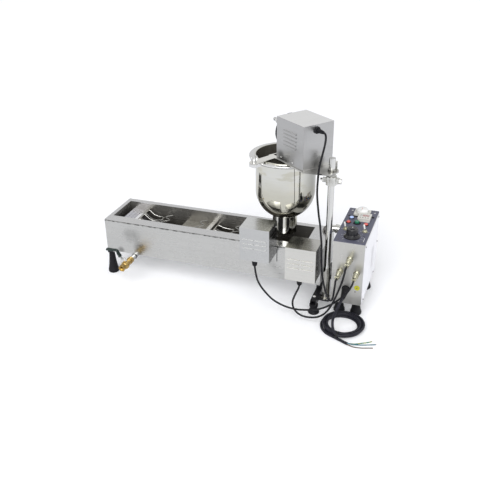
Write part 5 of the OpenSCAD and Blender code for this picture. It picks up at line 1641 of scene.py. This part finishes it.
@dataclass
class ControlBox(Assembly):
    """Box, panel and everything that is mounted on them.

    A row of LAMPS is a place on the panel and the number of the lens's finish. A row of BARS is the
    place, width and height of one bar of a digit, and DIGITS are the lit bars of each digit.
    CONNECTORS are places on the front face and SIDE_SCREWS are places on the far side.

    Attributes:
        top: Height of the panel's face.
        front: Place of the front face.
        side: Place of the far side's face.
        knob: Middle of the speed knob.
        mark_ring: Radius of the marks round it.
        number_ring: Radius of the numbers round it.
        scale_start: Direction of the first mark of the knob and the dial, in degrees.
        print_lift: How far a print's middle lies over the panel.
        dial: Middle of the temperature dial.
        tick_ring: Radius of its ticks.
        dial_half: How far from its middle a tick still lies on its plate.
        button: Middle of the start button.
        toggles: Middles of the two toggles.
        lean: Tilt of the toggles' levers, in degrees.
        earth: Middle of the earth disc on the front face.
        lead: Place of the mains lead on the front face.
        droop: How far the lead's boot leans down, in degrees.
        window: Middle of the controller's window.
        digit_step: Step from digit to digit.
    """

    top: float = 316.0
    front: float = -41.0
    side: float = 1041.5
    knob: Pair = (985.0, 5.0)
    mark_ring: float = 33.0
    number_ring: float = 38.6
    scale_start: float = 225
    print_lift: float = 0.04
    dial: Pair = (984.0, 202.0)
    tick_ring: float = 24.2
    dial_half: Pair = (27.5, 23.6)
    button: Pair = (981.0, 114.0)
    toggles: tuple[Pair, Pair] = ((952.0, 55.0), (1021.0, 54.0))
    lean: float = -12.0
    earth: Pair = (1023.0, 141.0)
    lead: Pair = (984.0, 130.0)
    droop: float = 8.3
    window: Point = (1001.0, 158.5, 328.6)
    digit_step: float = 10.6

    DRESS = {
        "control sheet": "control_box", "pale cover sheet": "control_side_cover",
        "slate enamel": "control_panel", "ivory plastic": "panel_instruments", "white plastic": "dial_knob",
        "green plastic": "start_button", "black gloss plastic": "speed_knob"}
    PANEL_SCREWS = ((944, 218), (1027, 218))
    LOWER_SCREWS = ((943, -28), (1027, -28))
    SIDE_SCREWS = ((234, 194), (197, 80), (-4, 76), (-28, 300), (226, 300))
    EARTH_DISC = ((0.0, 0.8), (3.0, 0.8), (9.6, 0.7), (10.0, 0.4), (10.0, 0.0))
    LAMPS = ((950.0, 113.0, 1), (1014.0, 110.0, 1), (954.0, 152.0, 2))
    LAMP_RING = ((9.4, 0.0), (10.0, 0.2), (10.0, 1.2), (9.2, 2.3), (7.9, 2.5), (7.4, 1.6))
    LENS = ((7.6, 1.0), (7.6, 3.4, 0.5), (7.0, 5.2, 0.5), (5.2, 6.8), (2.6, 7.4), (0.0, 7.5))
    BUTTON_RING = ((13.5, 0.0), (13.5, 1.6), (12.6, 3.2), (11.4, 3.5), (9.4, 3.3), (8.8, 2.6), (8.8, -6.0))
    WASHER = ((6.5, 0.0), (9.6, 0.0), (9.6, 0.8), (6.5, 0.9))
    BUSH_NUT = ((6.2, 0.8), (8.9, 0.8), (9.3, 1.2), (9.3, 3.0), (8.8, 3.4), (6.2, 3.4))
    BUSH = ((6.0, -11.0), (6.0, 3.4), *thread(6, 6.0, 5.6, 3.6, 0.9), (5.7, 9.0), (4.8, 9.0), (3.6, 1.6))
    STICK = ((0.0, -3.5), (2.4, -2.6), (3.5, 0.0), (2.6, 2.4), (1.8, 3.2), (2.1, 8.0), (2.4, 9.0))
    TIP = ((2.2, 8.4), (2.6, 8.6), (3.0, 14.0), (3.3, 21.0), (3.1, 24.4), (1.8, 25.8), (0.0, 26.0))
    WINDOW = (33.6, 19.6, 0.5)
    BARS = ((0, 6.2, 7.2, 1.5), (3.9, 3.1, 1.5, 5.0), (3.9, -3.1, 1.5, 5.0), (0, -6.2, 7.2, 1.5),
            (-3.9, -3.1, 1.5, 5.0), (-3.9, 3.1, 1.5, 5.0), (0, 0, 6.6, 1.4))
    DIGITS = ((1, 2), (0, 1, 2, 3, 4, 5, 6), (0, 2, 3, 5, 6))
    KEY = ((2.35, 0.0), (2.3, 1.0), (1.7, 1.6), (0.0, 1.8))
    CONNECTORS = ((991.0, 250.0), (959.0, 196.0), (1018.0, 197.0))
    FLANGE = ((7.0, -8.0), (7.0, 0.0), (11.6, 0.0), (12.0, 0.4), (12.0, 2.4), (11.4, 3.0), (8.4, 3.0))
    NECK = ((9.0, 2.8), (9.0, 4.0), (8.4, 4.4), (9.0, 4.8), (8.4, 5.4), (9.0, 6.0), (8.4, 6.6),
            (9.0, 7.2), (9.0, 9.8))
    KNURLED = ((8.6, 9.6), (10.0, 9.8), (10.5, 10.6, 0.5), (10.5, 23.6, 0.5), (10.0, 24.6), (8.4, 25.0))
    SLEEVE = ((8.5, 24.6), (8.5, 29.0), (8.1, 29.4), (8.1, 30.4), (8.5, 30.8), (8.5, 40.0), (7.8, 43.0))
    CLAMP = ((6.2, 42.6), (6.5, 43.4), (6.5, 53.6), (5.9, 54.8), (3.5, 55.0))
    CLAMP_BAR = (4.2, 2.6, 9.0)
    BOOT_FLANGE = ((8.0, -6.0), (8.0, 0.0), (14.4, 0.0), (15.0, 0.6), (15.0, 3.0), (14.2, 4.0), (8.0, 4.0))
    BOOT = ((12.6, 1.6), (13.0, 3.0), (13.2, 9.0), (12.4, 14.0),
            *ribs(8, 15.0, 4.4, 11.9, 0.56, 1.1, (2.4, 2.9, 4.0)), (7.3, 50.4), (6.6, 53.0), (5.1, 53.5))

    def make(self) -> None:
        """Builds the fittings one after another."""
        self.build_screws()
        self.build_fittings()
        self.build_toggles()
        self.build_prints()
        self.build_controller()
        self.build_connectors()
        self.build_boot()

    def on_panel(self, place: Pair, lift: float = 0.0, turn: float = 0.0) -> Matrix:
        """Makes a placement on the panel's face."""
        return seat(*place, self.top + lift, turn=turn)

    def on_front(self, x: float, z: float, out: float = 0.0) -> Matrix:
        """Makes a placement on the front face, with Z outwards."""
        return seat(x, self.front - out, z, FRONT)

    def build_screws(self) -> None:
        """Screws down the panel, the side cover and the earth point."""
        x, z = self.earth
        sides = [seat(self.side, *place, RIGHT) for place in self.SIDE_SCREWS]
        screws("panel_screws", Body.FRAME, [self.on_panel(place) for place in self.PANEL_SCREWS], 2.8)
        screws("lower_panel_screws", Body.FRAME, [self.on_panel(place) for place in self.LOWER_SCREWS], 2.2,
               "dark screws")
        screws("side_cover_screws", Body.FRAME, sides, 2.6, "dark screws")
        Shape().lathe(self.on_front(x, z), self.EARTH_DISC, 48).piece(
            "earth_disc", Body.FRAME, "earth disc", slot="white plastic")
        earth = [self.on_front(x, z, self.EARTH_DISC[0][1]), self.on_front(x - 6, z - 17)]
        screws("earth_screw", Body.FRAME, earth, 1.6, "dark screws")

    def build_fittings(self) -> None:
        """Builds lamps, the button's ring and the toggles' threaded bushes."""
        shape = Shape()
        for x, y, lens in self.LAMPS:
            base = self.on_panel((x, y))
            shape.finish = 3
            shape.lathe(base, self.LAMP_RING, 48)
            shape.lathe(base, [(7.0, -8.0), (7.0, 0.5)], 32)
            shape.finish = lens
            shape.lathe(base, self.LENS, 72, 18)
        shape.finish = 3
        shape.lathe(self.on_panel(self.button), self.BUTTON_RING, 56)
        shape.lathe(self.on_panel(self.button), [(10.0, -9.0), (10.0, 0.0)], 32)
        shape.finish = 0
        for place in self.toggles:
            base = self.on_panel(place)
            shape.lathe(base, self.WASHER, 40)
            shape.lathe(base, self.BUSH_NUT, 6)
            shape.lathe(base, self.BUSH, 32)
        shape.piece("lamps_and_bushes", Body.FRAME, "nickel fittings", "red lens", "blue lens",
                    "black plastic", slot="lamp plastic", replaces=["panel_fittings"])

    def build_toggles(self) -> None:
        """Builds the two toggle levers with their white tips."""
        tilt = math.radians(self.lean)
        way = (math.sin(tilt), 0.0, math.cos(tilt))
        nodes = (("left_toggle", Body.LEFT_TOGGLE), ("right_toggle", Body.RIGHT_TOGGLE))
        for place, (node, body) in zip(self.toggles, nodes):
            stick = seat(*place, self.top + 3, way)
            shape = Shape().lathe(stick, self.STICK, 28)
            shape.finish = 1
            shape.lathe(stick, self.TIP, 28).piece(node + "_lever", body, "nickel fittings", "white plastic",
                                                   slot="white plastic", replaces=[node])

    def build_prints(self) -> None:
        """Prints the plain numbers and marks round the knob, the dial and the toggles."""
        shape = Shape()
        for k in range(11):
            degrees = self.scale_start - 27 * k
            mark = self.on_panel(around(self.knob, self.mark_ring, degrees), turn=degrees)
            shape.block(mark, (3.4, 0.8, 0.1), 0)
            number = self.on_panel(around(self.knob, self.number_ring, degrees), self.print_lift)
            shape.words(number, str(k), 5.0)
        for x, y in self.toggles:
            shape.words(self.on_panel((x - 14.5, y), self.print_lift), "ON", 4.4)
            shape.words(self.on_panel((x + 13.5, y), self.print_lift), "OFF", 4.0)
        shape.finish = 1
        for k in range(28):
            degrees = self.scale_start - 10 * k
            x, y = around(self.dial, self.tick_ring, degrees)
            if abs(x - self.dial[0]) < self.dial_half[0] and abs(y - self.dial[1]) < self.dial_half[1]:
                shape.block(self.on_panel((x, y), 6, degrees), (2.2 if k % 3 else 3.4, 0.5, 0.1), 0)
        # A black patch beside the dial's base and a black block by the controller: partly a black label and
        # clip, partly painted shadow there.
        shape.block(self.on_panel((957.5, 170.5)), (39, 11, 0.6), 0.1)
        shape.block(self.on_panel((1027.5, 176)), (9, 6, 3.0), 0.4)
        shape.lathe(self.on_panel((1024.5, 16)), [(0.0, 0.8), (2.4, 0.8), (2.9, 0.0)], 24)
        shape.finish = 0
        shape.block(self.on_panel((1029.5, -8)), (1.8, 28, 0.2), 0.05)
        shape.piece("panel_prints", Body.FRAME, "print white", "print black", slot="white plastic")
        pointer = Shape()
        pointer.block(self.on_panel(self.knob, 33.8), (1.6, 8.0, 0.2), 0.05, (0, 5.0, 0))
        pointer.block(self.on_panel(self.knob, 3.3), (1.4, 5.0, 0.3), 0.05, (0, 25.6, 0))
        pointer.piece("speed_knob_pointer", Body.SPEED, "print white", slot="white plastic")
        # The dial's red mark takes the red lens finish, so it glows a little though it is no lamp: painted
        # glow.
        mark = Shape().block(self.on_panel(self.dial, 25.35), (1.2, 15.0, 0.3), 0.05, (0, -11.0, 0))
        mark.piece("dial_pointer", Body.DIAL, "red lens", slot="lamp plastic")

    def build_controller(self) -> None:
        """Fills the temperature controller's window, digits and keys."""
        x, y, z = self.window
        window = Shape().block(seat(x, y, z), self.WINDOW, 0.1)
        window.finish = 1
        for k, lit in enumerate(self.DIGITS):
            spot = seat(x + self.digit_step * (k - 1), y, z + self.WINDOW[2])
            for across, up, wide, high in (self.BARS[i] for i in lit):
                window.block(spot, (wide, high, 0.3), 0.05, (across, up, 0.15))
        window.piece("controller_display", Body.FRAME, "display window", "display digit", slot="lamp plastic")
        keys = Shape()
        for k in range(4):
            keys.lathe(seat(x - 14 + 9.4 * k, y - 19, z + 0.4), self.KEY, 28)
        keys.piece("controller_keys", Body.FRAME, "motor enamel")

    def build_connectors(self) -> None:
        """Builds the three round metal connectors with knurled rings and cable clamps."""
        shape = Shape()
        for x, z in self.CONNECTORS:
            out = self.on_front(x, z)
            for profile, sides, flutes in ((self.FLANGE, 48, 0), (self.NECK, 40, 0), (self.KNURLED, 96, 32),
                                           (self.SLEEVE, 40, 0), (self.CLAMP, 36, 0)):
                shape.lathe(out, profile, sides, flutes)
            for side in (-1, 1):
                shape.block(out, self.CLAMP_BAR, 0.5, (side * 5.6, 4.2, 48.6))
        shape.piece("round_connectors", Body.FRAME, "nickel fittings", slot="aluminium",
                    replaces=["cable_connectors"])

    def build_boot(self) -> None:
        """Builds the mains lead's flange and ribbed boot, which droops a little."""
        x, z = self.lead
        droop = math.radians(self.droop)
        shape = Shape().lathe(self.on_front(x, z), self.BOOT_FLANGE, 48)
        shape.lathe(seat(x, self.front - 2, z, (0, -math.cos(droop), -math.sin(droop))), self.BOOT, 40)
        shape.piece("mains_boot", Body.FRAME, "black plastic", replaces=["strain_relief"])


def main() -> None:
    """Builds the studio and the machine's looks in order."""
    logging.basicConfig(level=logging.INFO, format="%(message)s")
    for part in (Studio(), Cables(), Trough(), Conveyor(), Drives(), Head(), Drain(), ControlBox()):
        LOG.info("building %s", type(part).__name__)
        part.build()


if __name__ == "__main__":
    main()
